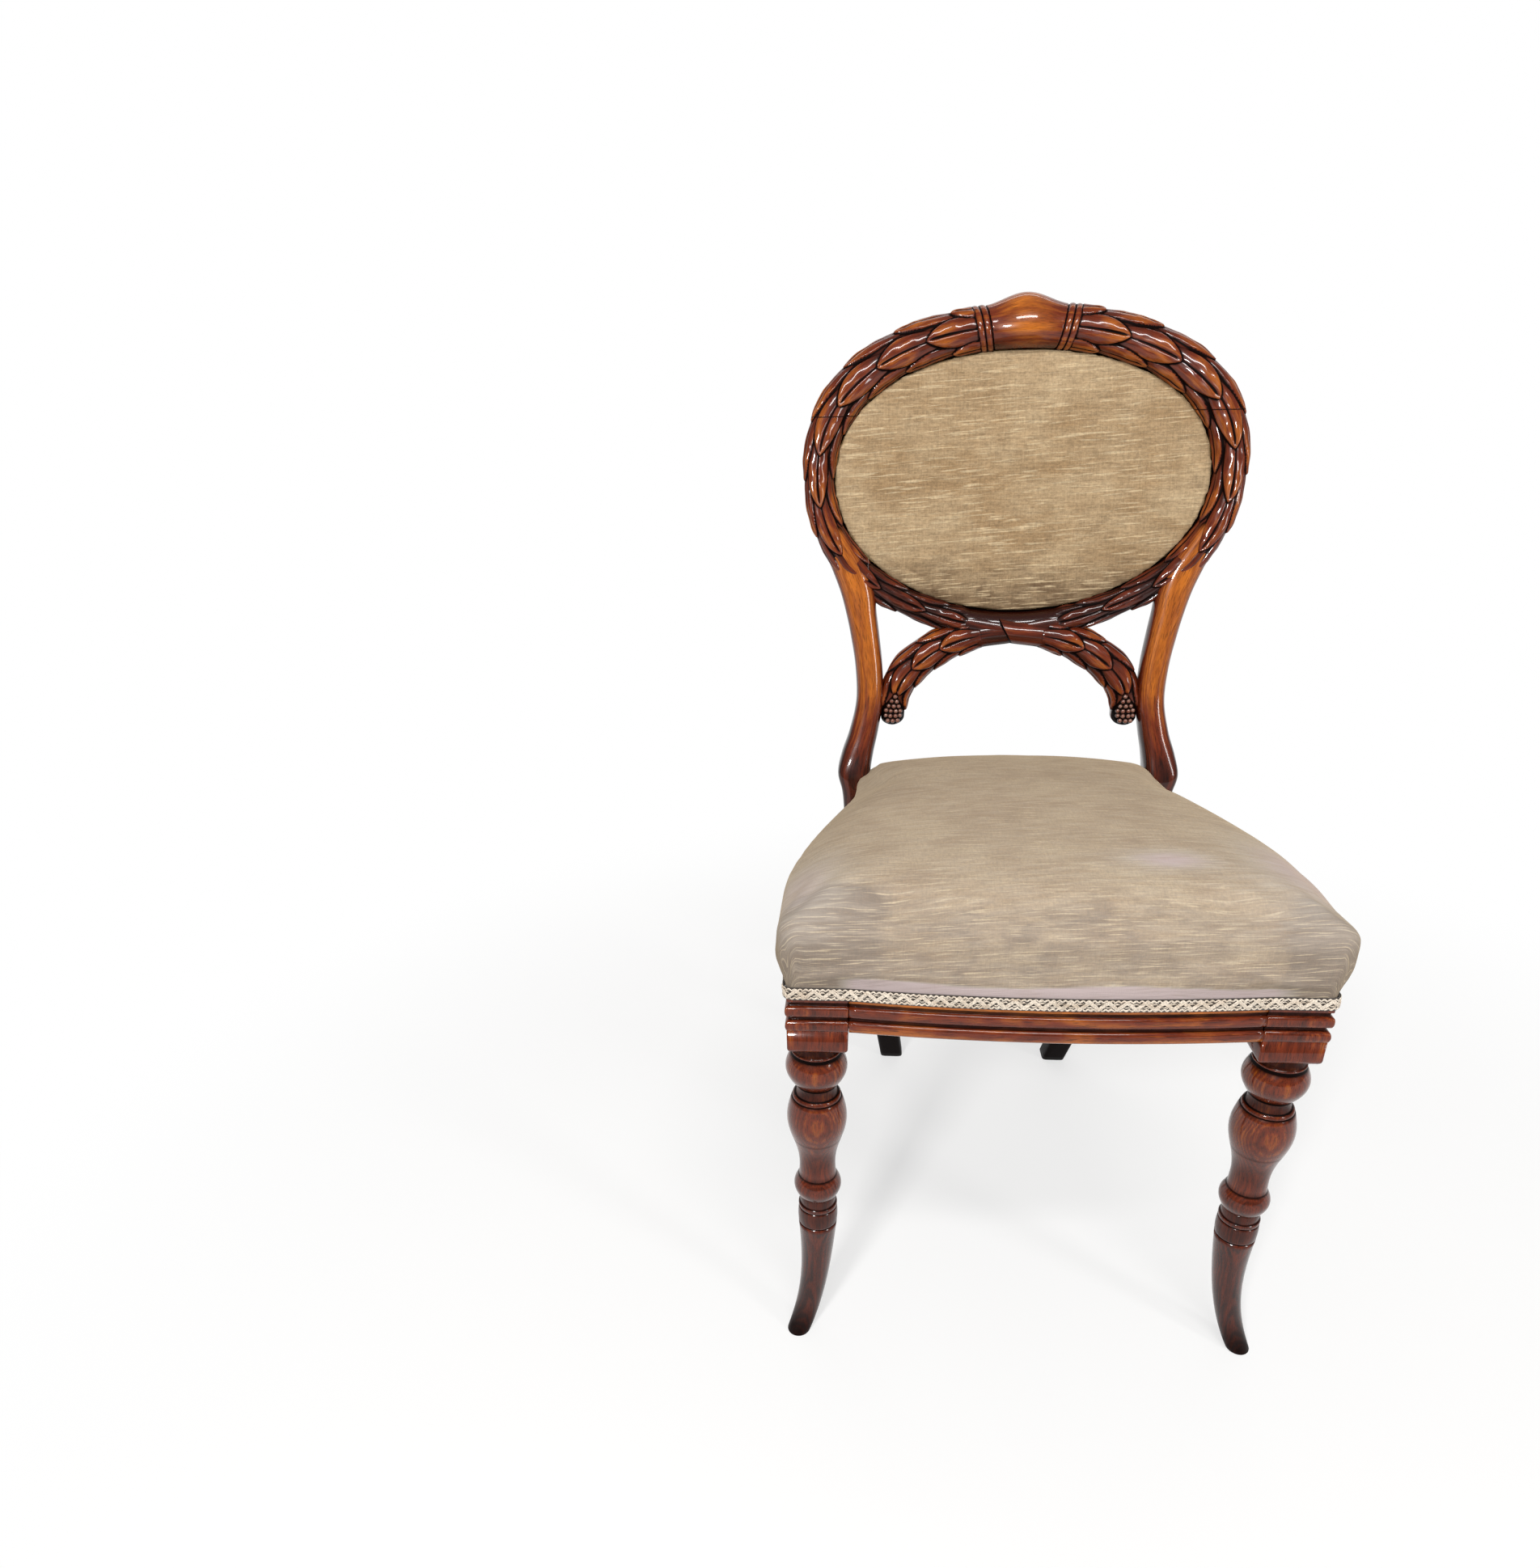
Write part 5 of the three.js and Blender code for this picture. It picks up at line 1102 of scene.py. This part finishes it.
def polished_wood(c, add):
    """Mahogany or a like hardwood, polished with shellac: honey where it is worn, dark in the hollows."""
    grain = add("Attribute", attribute_name="grain", out="Vector")
    tone, recess = (add("Attribute", attribute_name=name, out="Fac") for name in ("tone", "recess"))
    streaks = pattern(add, grain, (110, 3.6, 3.6), 4, 0.6, 0.4)
    patches = pattern(add, grain, (60, 20, 20), 2, 0.5, 0.4)
    # pores of 0.6 mm are drawn a little coarser than they are, so that they show
    pores = pattern(add, grain, (9, 0.6, 0.6), 2, 0.5)
    bent = pattern(add, grain, (70, 30, 30), 2, 0.5)
    worn = pattern(add, grain, (12, 6, 6), 3, 0.6)
    ripple = pattern(add, grain, (30, 8, 8), 2, 0.5)
    streaks_by, patches_by, rings_by = 0.6, 0.55, 0.09
    value = add("Math:MULTIPLY_ADD", streaks, streaks_by, add("Math:MULTIPLY_ADD", patches, patches_by, tone))
    growth = add("Math:MULTIPLY", add("SeparateXYZ", grain, out="Z"), 2 * math.pi / RING_WIDTH)
    rings = add("Math:SINE", add("Math:MULTIPLY_ADD", bent, 30.0, growth))
    value = add("Math:SUBTRACT", add("Math:MULTIPLY_ADD", rings, rings_by, value), (streaks_by + patches_by) / 2)
    body = add("ValToRGB", value, stops=((0.0, c.dark), (0.45, c.red), (1.0, c.honey)))
    flecks = add("ValToRGB", pores, stops=((0.36, 0.45), (0.48, 1.0)))
    body = add("Mix", 1.0, body, flecks, data_type="RGBA", blend_type="MULTIPLY")
    hollow = add("Math:MULTIPLY", recess, add("Math:MULTIPLY_ADD", worn, 0.4, 0.8))
    # a hairline of dirt in the seam between the crest rail and the stiles
    height = add("SeparateXYZ", add("TexCoord", out="Object"), out="Z")
    above = add("Math:SUBTRACT", height, bpy.context.scene.chair_back.joint_height)
    seam = add("ValToRGB", add("Math:DIVIDE", add("Math:ABSOLUTE", above), MM), stops=((0.35, 0.85), (0.7, 0.0)))
    stained = add("Math:MAXIMUM", add("ValToRGB", hollow, stops=((0.1, 0.0), (0.6, 1.0))), seam)
    clean = add("Math:SUBTRACT", 1.0, stained)
    rough = add("Math:MULTIPLY_ADD", stained, 0.15, add("Math:MULTIPLY_ADD", worn, 0.16, 0.2))
    return {"Base_Color": add("Mix", stained, body, c.stain, data_type="RGBA"), "Roughness": rough, "IOR": 1.5,
            "Coat_Weight": add("Math:MULTIPLY", clean, 0.65), "Coat_Roughness": 0.07, "Coat_IOR": 1.5,
            "Specular_IOR_Level": add("Math:MULTIPLY_ADD", clean, 0.09, 0.03),
            "Normal": add("Bump", Height=add("Math:MULTIPLY_ADD", pores, 0.25, ripple), Distance=0.35 * MM,
                          Strength=0.5)}


def inner_wood(add, shade):
    """Unpolished wood inside the seat: plain sawn beech, brown with age."""
    where = add("TexCoord", out="Object")
    streaks = pattern(add, where, (80, 80, 2), 4, 0.6)
    dust = pattern(add, where, (30, 30, 30), 3, 0.5)
    body = add("Mix", add("ValToRGB", streaks, stops=((0.3, 0.0), (0.7, 1.0))), shade * 0.45, shade, data_type="RGBA")
    dusty = add("ValToRGB", dust, stops=((0.45, 0.0), (0.75, 0.5)))
    return {"Base_Color": add("Mix", dusty, body, shade * 0.3, data_type="RGBA"), "Roughness": 0.7,
            "Normal": add("Bump", Height=streaks, Distance=0.4 * MM)}


def velvet(c, add):
    """Cotton velvet with a ribbed, slubbed ground: streaks run across, and it is rubbed and soiled."""
    weave = add("Attribute", attribute_name="weave", out="Vector")
    band, soil, fold = (add("Attribute", attribute_name=name, out="Fac") for name in ("band", "soil", "fold"))
    slanted = add("Mapping", weave, Rotation=(0, 0, math.radians(-3.5)))
    # threads and nap are drawn at one to two millimetres, coarser than they are, so that they show
    threads = pattern(add, weave, (16, 1.1, 1000), 2, 0.6)
    warp = pattern(add, weave, (1.1, 12, 1000), 2, 0.6)
    nap = pattern(add, weave, (2.6, 1.8, 1000), 3, 0.7)
    slubs = pattern(add, slanted, (30, 1.6, 1000), 1, 0.5, 0.2)
    long_slubs = pattern(add, slanted, (34, 4.5, 1000), 2, 0.6, 0.2)
    wear = pattern(add, weave, (90, 50, 1000), 4, 0.6, 0.5)
    patches = pattern(add, weave, (30, 18, 1000), 3, 0.6, 0.6)
    dirt = add("Math:MULTIPLY_ADD", soil, 1.3, add("Math:SUBTRACT", patches, 0.6))
    body = c.velvet
    for value, stops, laid in ((wear, ((0.36, 0.1), (0.64, 0.62)), c.velvet_light),
                               (dirt, ((0.12, 0.0), (0.6, 1.0)), c.velvet_dark * 0.86),
                               (slubs, ((0.58, 0.0), (0.67, 0.95)), c.velvet_light),
                               (long_slubs, ((0.5, 0.0), (0.68, 0.22)), c.velvet_light),
                               (long_slubs, ((0.3, 0.15), (0.48, 0.0)), c.velvet_dark)):
        body = add("Mix", add("ValToRGB", value, stops=stops), body, laid, data_type="RGBA")
    crossing = add("Math:MULTIPLY_ADD", threads, 0.6, add("Math:MULTIPLY", warp, 0.4))
    for value, stops in ((nap, ((0.35, 0.74), (0.62, 1.04))), (crossing, ((0.34, 0.66), (0.64, 1.0)))):
        shade = add("ValToRGB", value, stops=stops)
        body = add("Mix", 1.0, body, shade, data_type="RGBA", blend_type="MULTIPLY")
    streaked = add("Math:MULTIPLY", band, add("Math:MULTIPLY_ADD", long_slubs, 0.9, 0.55))
    over_braid = add("ValToRGB", band, stops=((0.55, 0.0), (0.9, 1.0)))
    faded = add("Mix", over_braid, c.velvet_grey, c.velvet_lilac, data_type="RGBA")
    body = add("Mix", streaked, body, faded, data_type="RGBA")
    folded = add("Math:MULTIPLY", fold, 0.75)
    relief = add("Math:MULTIPLY_ADD", threads, 0.5, add("Math:MULTIPLY", warp, 0.35))
    return {"Base_Color": add("Mix", folded, body, c.velvet_dark * 0.25, data_type="RGBA"), "Roughness": 0.85,
            "Specular_IOR_Level": 0.25, "Sheen_Weight": 0.35, "Sheen_Roughness": 0.4, "Sheen_Tint": c.velvet_light,
            "Normal": add("Bump", Height=add("Math:MULTIPLY_ADD", slubs, 0.9, relief), Distance=0.6 * MM,
                          Strength=0.6)}


def woven(add, shade, pitch, contrast):
    """Plain-woven cloth with threads a pitch apart both ways."""
    where = add("TexCoord", out="Object")
    waves = [add("TexWave", where, bands_direction=axis, Scale=math.pi / (10 * pitch), Distortion=0.6, Detail=1.0,
                 Detail_Scale=0.6, out="Fac") for axis in "XY"]
    cloth = add("Math:MAXIMUM", *waves)
    slub = pattern(add, where, (30, 30, 30), 4, 0.6)
    fade = add("Math:MULTIPLY", cloth, add("Math:MULTIPLY_ADD", slub, 0.8, 0.6))
    raised = add("ValToRGB", fade, stops=((0.1, 0.0), (0.95, 1.0)))
    return {"Base_Color": add("Mix", raised, shade * (1 - contrast), shade, data_type="RGBA"), "Roughness": 0.85,
            "Specular_IOR_Level": 0.2, "Normal": add("Bump", Height=cloth, Distance=pitch / 4)}


def braid_cord(c, add):
    """Twisted cotton gimp, cream on its cords and dirty between them."""
    where = add("TexCoord", out="Object")
    raised = add("Attribute", attribute_name="raised", out="Fac")
    twist = pattern(add, where, (1.2, 1.2, 1.2), 2, 0.6)
    dirt = pattern(add, where, (20, 20, 6), 3, 0.6)
    body = c.braid
    for value, stops, laid in ((twist, ((0.35, 0.75), (0.6, 0.0)), c.braid * 0.4),
                               (dirt, ((0.45, 0.0), (0.75, 0.5)), c.velvet)):
        body = add("Mix", add("ValToRGB", value, stops=stops), body, laid, data_type="RGBA")
    return {"Base_Color": add("Mix", raised, c.velvet_dark * 0.12, body, data_type="RGBA"), "Roughness": 0.7,
            "Sheen_Weight": 0.2, "Normal": add("Bump", Height=twist, Distance=0.3 * MM)}


def berry_gloss(c, add):
    """Carved berries, polished on their crowns and dark between."""
    spots = pattern(add, add("TexCoord", out="Object"), (5, 5, 5), 3, 0.6)
    body = add("Mix", add("ValToRGB", spots, stops=((0.35, 0.3), (0.7, 1.0))), c.red, c.berry, data_type="RGBA")
    front = add("Math:MULTIPLY", add("SeparateXYZ", add("NewGeometry", out="Normal"), out="Y"), -1.0)
    crown = add("ValToRGB", front, stops=((0.35, 0.0), (0.85, 1.0)))
    return {"Base_Color": add("Mix", crown, c.stain, body, data_type="RGBA"), "Roughness": 0.3,
            "Coat_Weight": 0.5, "Coat_Roughness": 0.15, "Normal": add("Bump", Height=spots, Distance=0.3 * MM)}


def blued_steel(c, add):
    """Blued steel tacks, dull with a little rust."""
    rust = pattern(add, add("TexCoord", out="Object"), (4, 4, 4), 3, 0.6)
    rusty = add("ValToRGB", rust, stops=((0.5, 0.0), (0.7, 1.0)))
    return {"Base_Color": add("Mix", rusty, c.tack, c.red, data_type="RGBA"), "Metallic": 1.0,
            "Roughness": add("Math:MULTIPLY_ADD", rust, 0.3, 0.35),
            "Normal": add("Bump", Height=rust, Distance=0.2 * MM)}


FINISHES = {
    "polished_wood": polished_wood,
    "sawn_wood": lambda c, add: inner_wood(add, c.inside),
    "stained_wood": lambda c, add: inner_wood(add, c.red),
    "velvet": velvet,
    "braid_cord": braid_cord,
    "berry_gloss": berry_gloss,
    "jute_web": lambda c, add: woven(add, c.jute, 2.2 * MM, 0.45),
    "hessian": lambda c, add: woven(add, c.jute, 1.6 * MM, 0.6),
    "cambric": lambda c, add: woven(add, c.black, 0.8 * MM, 0.5),
    "blued_steel": blued_steel,
}
made_materials = {}


def adder(tree):
    """The function that adds a node to this material's tree."""
    return lambda kind, *values, **options: node(tree, "ShaderNode" + kind, *values, **options)


def new_material(name, finish):
    """A material whose shader gets the sockets that a finish returns."""
    made = bpy.data.materials.new(name)
    made.use_nodes = True
    tree = made.node_tree
    node(tree, tree.nodes["Principled BSDF"], **finish(bpy.context.scene.chair_colours, adder(tree)))
    return made


def material(name):
    """Make each material once, from the chair's colours."""
    if name not in made_materials:
        made_materials[name] = new_material(name, FINISHES[name])
    return made_materials[name]


# ---------------------------------------------------------------- operators, one for each piece or group

class Maker(bpy.types.Operator):
    """Makes pieces of the chair"""
    bl_idname = "chair.maker"
    bl_label = "Chair piece"
    bl_options = {"REGISTER", "UNDO"}

    def execute(self, context):
        scene = context.scene
        self.make(scene.chair_back, scene.chair_seat, scene.chair_legs)
        return {"FINISHED"}


SIDES = ("right", 1), ("left", -1)


def drop(piece):
    mesh = piece.data
    bpy.data.objects.remove(piece)
    bpy.data.meshes.remove(mesh)


class CHAIR_OT_wreath(Maker):
    """Carve the laurel wreath and the crossed, leafy tails, and share them out among the three rails"""
    bl_idname = "chair.wreath"
    bl_label = "Wreath and stiles"

    def make(self, b, s, l):
        ring = carved_wreath(b)
        gap = 0.03 * MM
        high, low = (0, 0, b.joint_height + gap), (0, 0, b.joint_height - gap)
        finish_piece(cut(ring, "crest_rail_carved", (high, (0, 0, 1))), "crest_rail")
        lower = cut(ring, "lower", (low, (0, 0, -1)), ((b.cross_joint - gap, 0, 0), (-1, 0, 0)),
                    ((gap - b.cross_joint, 0, 0), (1, 0, 0)))
        over = tail(b, "over", 3.5 * MM)
        under_right = tail(b, "under_right", 0.0)
        under = mirrored(under_right, "under")
        finish_piece(joined("cross_rail_carved", lower, over, under), "back_cross_rail")
        for side, sign in SIDES:
            finish_piece(berry_cluster(b, "berries_" + side, sign))
        upright = stile(b)
        for side, sign in SIDES:
            arm = cut(ring, "arm", (low, (0, 0, -1)), ((sign * (b.cross_joint + gap), 0, 0), (sign, 0, 0)))
            leg = mirrored(upright, "leg") if sign < 0 else cut(upright, "leg")
            finish_piece(joined("rear_leg_" + side + "_carved", arm, leg), "rear_leg_" + side)
        for pattern_piece in (under_right, upright, ring):
            drop(pattern_piece)


class CHAIR_OT_front_legs(Maker):
    """Turn the front legs under their moulded blocks"""
    bl_idname = "chair.front_legs"
    bl_label = "Front legs"

    def make(self, b, s, l):
        right = joined("front_leg_right_turned", turning(l), plinth(s, l), block(s))
        left = mirrored(right, "front_leg_left_turned")
        finish_piece(right, "front_leg_right")
        finish_piece(left, "front_leg_left")


class CHAIR_OT_rails(Maker):
    """Run the moulded rails between the legs"""
    bl_idname = "chair.rails"
    bl_label = "Rails"

    def make(self, b, s, l):
        gap, stations = 0.3 * MM, 61
        end = s.leg_axis - s.block / 2 - gap
        front = rail(s, "front_rail_moulded", np.linspace(-end, end, stations),
                     lambda x, out, z: (x, float(front_face(s, x)) - out, z), 0.4)
        finish_piece(front, "front_rail")
        start, end = -LEG_LINE + s.block / 2 + gap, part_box("side_rail_right")[1].y
        for side, sign in SIDES:
            piece = rail(s, "side_rail_" + side + "_moulded", np.linspace(start, end, stations),
                         lambda y, out, z: (sign * (float(side_face(s, y)) + out), y, z), 0.34)
            finish_piece(piece, "side_rail_" + side)


def points_of(mesh):
    """Places and outward directions of a mesh's points."""
    both = np.empty((2, len(mesh.vertices) * 3))
    mesh.vertices.foreach_get("co", both[0])
    mesh.vertex_normals.foreach_get("vector", both[1])
    return both.reshape(2, -1, 3)


def mark_flat_velvet(mesh, part, soil=0.0):
    """Lay the weave flat over a part of the back, with its soil; each part has its own stretch of the pattern."""
    p = points_of(mesh)[0]
    none = np.zeros(len(p))
    mark(mesh, {"weave": np.column_stack([p[:, 0], p[:, 2], none + part]), "band": none, "soil": none + soil,
                "fold": none})


class CHAIR_OT_seat(Maker):
    """Stuff the seat and cover it with velvet"""
    bl_idname = "chair.seat"
    bl_label = "Seat cushion"

    def make(self, b, s, l):
        cap, bottom = 6 * MM, tack_line(s)
        piece = skin("seat_cushion", seat_form(s, cap), material=material("velvet"))
        plumped(piece, lambda p: 1 - smoothstep(p[:, 2], bottom + 4 * MM, bottom + 26 * MM), cap, steady=0.9)
        subdivided(piece)
        self.mark_cloth(piece.data, bottom, bottom + 0.72 * (s.cushion_top - bottom))
        finish_piece(piece, "seat_cover", "seat_stuffing", slot="velvet")

    def mark_cloth(self, mesh, bottom, shoulder):
        """Lay the weave over the seat and down its sides, with its faded, soiled and folded places."""
        p, out = points_of(mesh)
        x, y, z = p.T
        ahead = -out[:, 1]

        def spot(at_x, at_y, wide, deep):
            return np.exp(-((x - at_x) / wide) ** 2 - ((y - at_y) / deep) ** 2)

        fallen = np.maximum(shoulder - z, 0)
        squares = out[:, :2] ** 2
        sideways = squares[:, 0] / np.maximum(squares.sum(1), 1e-6)
        weave = np.column_stack([x + np.sign(x) * fallen * sideways, y - np.sign(ahead) * fallen * (1 - sideways),
                                 0.01 * sideways])
        # a strip over the braid with an uneven upper edge, lower at its left end, and three faded spots
        edge = bottom + 23 * MM + 2 * MM * np.sin(x * 31) - 60 * MM * np.maximum(-0.14 - x, 0)
        strip = (smoothstep(edge - z, 0, 3 * MM) * smoothstep(ahead, 0.5, 0.7) * smoothstep(x, -0.182, -0.15)
                 * smoothstep(x, 0.2, 0.15))
        faded = np.maximum(spot(0.09, -0.18, 0.035, 0.014), spot(0.2, -0.17, 0.05, 0.06))
        faded = np.maximum(faded, 0.7 * spot(-0.2, -0.2, 0.035, 0.05))
        band = np.maximum(strip, 0.33 + 0.6 * faded * smoothstep(z, 0.42, 0.44))
        # soil at the left and right front corners, along the front and in the middle of the rear
        left = 0.95 * smoothstep(-x, 0.1, 0.17) * smoothstep(-y, 0.2, 0.235)
        front = 0.36 * smoothstep(-y, 0.205, 0.25)
        soil = np.max([left, spot(0.19, -0.25, 0.03, 0.03), front, 0.15 * spot(-0.02, 0.02, 0.1, 0.07)], 0)
        # the pleats that take up the cloth on the sides of the front corners
        pleat = smoothstep(np.abs(y + 0.234), 2.4 * MM, 0.8 * MM) * smoothstep(np.abs(x), 0.2, 0.205)
        fold = pleat * smoothstep(z, bottom + 36 * MM, bottom + 22 * MM)
        mark(mesh, {"weave": weave, "band": band, "soil": soil, "fold": fold})


class CHAIR_OT_back(Maker):
    """Pad the oval of the back and cover it with velvet"""
    bl_idname = "chair.back"
    bl_label = "Back pad"

    def make(self, b, s, l):
        cap = 3 * MM
        piece = skin("back_pad", pad_form(b, cap * 0.5), material=material("velvet"))

        def held(p):
            x, z = p[:, 0], p[:, 2] - b.oval_height
            reach = np.where(z > 0, b.oval_above, b.oval_below)
            far = np.hypot(x / b.oval_half_width, z / reach)
            behind = p[:, 1] - back_y(b, x, p[:, 2])
            return np.maximum(smoothstep(far, 0.93, 0.985), smoothstep(behind, -1 * MM, 1 * MM))

        plumped(piece, held, cap, voxel=4 * MM, pressure=3.0)
        subdivided(piece)
        height = points_of(piece.data)[0][:, 2]
        mark_flat_velvet(piece.data, 0.5, 0.1 + 0.38 * smoothstep(height, 0.68, 0.6))
        finish_piece(piece, "back_cover", "back_stuffing", slot="velvet")


class CHAIR_OT_braid(Maker):
    """Lay the gimp braid along the edge of the seat"""
    bl_idname = "chair.braid"
    bl_label = "Gimp braid"

    def make(self, b, s, l):
        path, out = braid_path(s)
        finish_piece(gimp(s, "gimp_scrolls", path, out), "gimp_braid", slot="braid")
        low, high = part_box("gimp_braid_rear")
        x = np.arange(low.x, high.x, 1.5 * MM)[::-1]
        path = np.column_stack([x, np.full(len(x), low.y - 0.9 * MM)])
        rear = gimp(s, "gimp_scrolls_rear", path, np.tile((0.0, 1.0), (len(x), 1)))
        finish_piece(rear, "gimp_braid_rear", slot="braid")


class CHAIR_OT_cloths(Maker):
    """Stretch the black cloth under the seat and the cloth behind the oval"""
    bl_idname = "chair.cloths"
    bl_label = "Cloths"

    def make(self, b, s, l):
        under, rim = bottoming(s, "bottoming_stretched")
        finish_piece(under, "bottoming_cloth", slot="black_cloth")
        plan_area(rim)
        at = evenly(rim.mean(0) + (rim - rim.mean(0)) * 0.97, s.tack_pitch)
        places = np.column_stack([at, np.full(len(at), s.rail_bottom - 2.0 * MM)])
        tacks = tack_heads("bottoming_tacks", places, np.tile((0, 0, -1.0), (len(at), 1)))
        finish_piece(tacks, slot="black_cloth")
        outside = outside_back(b, "outside_back_stretched")
        mark_flat_velvet(outside.data, 0.9)
        finish_piece(outside, "outside_back_cloth", slot="velvet")
        x, z = oval(b, np.arange(160) / 160 * 2 * math.pi)
        lean = math.hypot(1, b.rake)
        flat = (float(np.ptp(x)) * 1.01, float(np.ptp(z)) * lean)
        plan_area(np.column_stack([x, z * lean]))


class CHAIR_OT_hidden(Maker):
    """Give the carried-over nodes their own materials"""
    bl_idname = "chair.hidden"
    bl_label = "Inner parts"

    def make(self, b, s, l):
        kinds = {"webbing": "jute_web", "hessian": "hessian", "back_rail": "stained_wood", "dowel": "sawn_wood",
                 "corner_block": "sawn_wood"}
        for name, carried in cad_nodes.items():
            for part, kind in kinds.items():
                if part in name:
                    carried.data.materials.clear()
                    carried.data.materials.append(material(kind))


# name, place, aim, size and watts
LAMPS = (("key", (-1.0, -2.5, 1.9), (0, 0, 0.5), (0.36, 0.36), 60),
         ("top", (0.2, -1.5, 2.6), (0, 0, 0.4), (1.3, 0.22), 30),
         ("fill", (2.0, -1.7, 1.3), (0, 0, 0.4), (0.4, 0.9), 20),
         ("backdrop", (0, 1.6, 2.9), (0, 3.6, 1.1), (3.5, 0.8), 60))


def area_lamp(name, at, aim, size, power):
    lamp = bpy.data.lights.new(name, "AREA")
    lamp.shape = "RECTANGLE"
    lamp.size, lamp.size_y = size
    lamp.energy = power
    made = placed(name, lamp)
    made.location = at
    made.rotation_euler = (Vector(aim) - Vector(at)).to_track_quat("-Z", "Y").to_euler()


class CHAIR_OT_stage(Maker):
    """Set the floor, the soft studio lamps, the plain surroundings and the camera"""
    bl_idname = "chair.stage"
    bl_label = "Stage"

    def make(self, b, s, l):
        self.sweep(self.floor_material())
        self.surroundings()
        for lamp in LAMPS:
            area_lamp(*lamp)
        self.camera()

    def floor_material(self):
        """Matt pale floor, which fades to white away from the chair and keeps the shadow beside it."""
        made = new_material("studio_floor", lambda c, add: {"Roughness": 0.9, "Specular_IOR_Level": 0.0})
        tree, c = made.node_tree, bpy.context.scene.chair_colours
        add, shader = adder(tree), tree.nodes["Principled BSDF"]
        where = add("TexCoord", out="Object")
        pale = add("Mix", pattern(add, where, (400, 400, 400), 2, 0.5), c.floor, c.floor * 0.985, data_type="RGBA")
        seen = add("LightPath", out="Is Camera Ray")
        for ray in ("Is Glossy Ray", "Is Transmission Ray"):
            seen = add("Math:MAXIMUM", seen, add("LightPath", out=ray))
        node(tree, shader, Base_Color=add("Mix", seen, c.floor * 0.5, pale, data_type="RGBA"))
        fading = add("MapRange", add("VectorMath:LENGTH", where, out="Value"), interpolation_type="SMOOTHSTEP",
                     From_Min=0.35, From_Max=1.2, To_Min=0.6, To_Max=1.0)
        white = add("Emission", (1, 1, 1), 1.0)
        mix = add("MixShader", add("Math:MULTIPLY", seen, fading), shader.outputs[0], white)
        node(tree, tree.nodes["Material Output"], mix)
        return made

    def sweep(self, finish):
        """Floor that sweeps up into a wall behind the chair."""
        radius, depth, wall = 1.6, 2.6, 5.0
        turn = np.linspace(0, math.pi / 2, 24)
        y = np.concatenate([[-6], depth + radius * np.sin(turn), [depth + radius]])
        z = np.concatenate([[0], radius * (1 - np.cos(turn)), [wall]])
        verts = [(x, a, c) for a, c in zip(y, z) for x in (-7, 7)]
        faces = [(2 * i, 2 * i + 1, 2 * i + 3, 2 * i + 2) for i in range(len(y) - 1)]
        floor = new_object("floor", verts, faces, material=finish)
        floor.data.shade_smooth()
        return floor

    def surroundings(self):
        """Plain pale light from all round."""
        world = bpy.data.worlds.new("studio")
        bpy.context.scene.world = world
        world.use_nodes = True
        node(world.node_tree, world.node_tree.nodes["Background"], (1, 1, 1), 0.25)

    def camera(self):
        """The camera stands a little to the left of the chair and looks down on it."""
        down, roll, turn = math.radians(26.7), math.radians(-1.1685), math.radians(-4.4756)
        side = Vector((1, 0, 0))
        up = Vector((0, math.sin(down), math.cos(down)))
        ahead = Vector((0, math.cos(down), -math.sin(down)))
        right = math.cos(roll) * side + math.sin(roll) * up
        top = -math.sin(roll) * side + math.cos(roll) * up
        to_chair = Matrix(((math.cos(turn), math.sin(turn), 0), (-math.sin(turn), math.cos(turn), 0), (0, 0, 1)))
        right, top, ahead = to_chair @ right, to_chair @ top, to_chair @ ahead
        data = bpy.data.cameras.new("camera")
        camera = placed("camera", data)
        place = Matrix((right, top, -ahead)).transposed().to_4x4()
        place.translation = (-0.14997, -0.71567 - LEG_LINE, 0.80090)
        camera.matrix_world = place
        # the photo's frame, the focal length and the point straight ahead of the lens, in pixels
        width, height, reach, ahead_x, ahead_y = 1904, 1939, 1271.206, 977.9, 1133.6
        data.sensor_fit = "AUTO"
        data.sensor_width = 36
        data.lens = reach * data.sensor_width / height
        data.shift_x = (width / 2 - ahead_x) / height
        data.shift_y = (ahead_y - height / 2) / height
        bpy.context.scene.camera = camera
        bpy.context.scene.view_settings.view_transform = "Standard"


MAKERS = (CHAIR_OT_wreath, CHAIR_OT_front_legs, CHAIR_OT_rails, CHAIR_OT_seat, CHAIR_OT_back, CHAIR_OT_braid,
          CHAIR_OT_cloths, CHAIR_OT_hidden, CHAIR_OT_stage)
GROUPS = {"chair_back": ChairBack, "chair_seat": ChairSeat, "chair_legs": ChairLegs, "chair_colours": ChairColours}


class CHAIR_PT_panel(bpy.types.Panel):
    """Sizes, colours and the steps that make the chair"""
    bl_idname = "CHAIR_PT_panel"
    bl_label = "Balloon back chair"
    bl_space_type = "VIEW_3D"
    bl_region_type = "UI"
    bl_category = "Chair"

    def draw(self, context):
        for maker in MAKERS:
            self.layout.operator(maker.bl_idname)
        for group in GROUPS:
            box = self.layout.box()
            box.label(text=group.replace("_", " ").capitalize())
            settings = getattr(context.scene, group)
            for name in settings.bl_rna.properties.keys():
                if name not in ("rna_type", "name"):
                    box.prop(settings, name)


def register():
    for group in (*GROUPS.values(), *MAKERS, CHAIR_PT_panel):
        bpy.utils.register_class(group)
    for name, group in GROUPS.items():
        setattr(bpy.types.Scene, name, PointerProperty(type=group))


def unregister():
    for name in GROUPS:
        delattr(bpy.types.Scene, name)
    for group in (CHAIR_PT_panel, *reversed(MAKERS), *reversed(list(GROUPS.values()))):
        bpy.utils.unregister_class(group)


def main():
    register()
    for maker in MAKERS:
        family, name = maker.bl_idname.split(".")
        getattr(getattr(bpy.ops, family), name)()


if __name__ == "__main__":
    main()
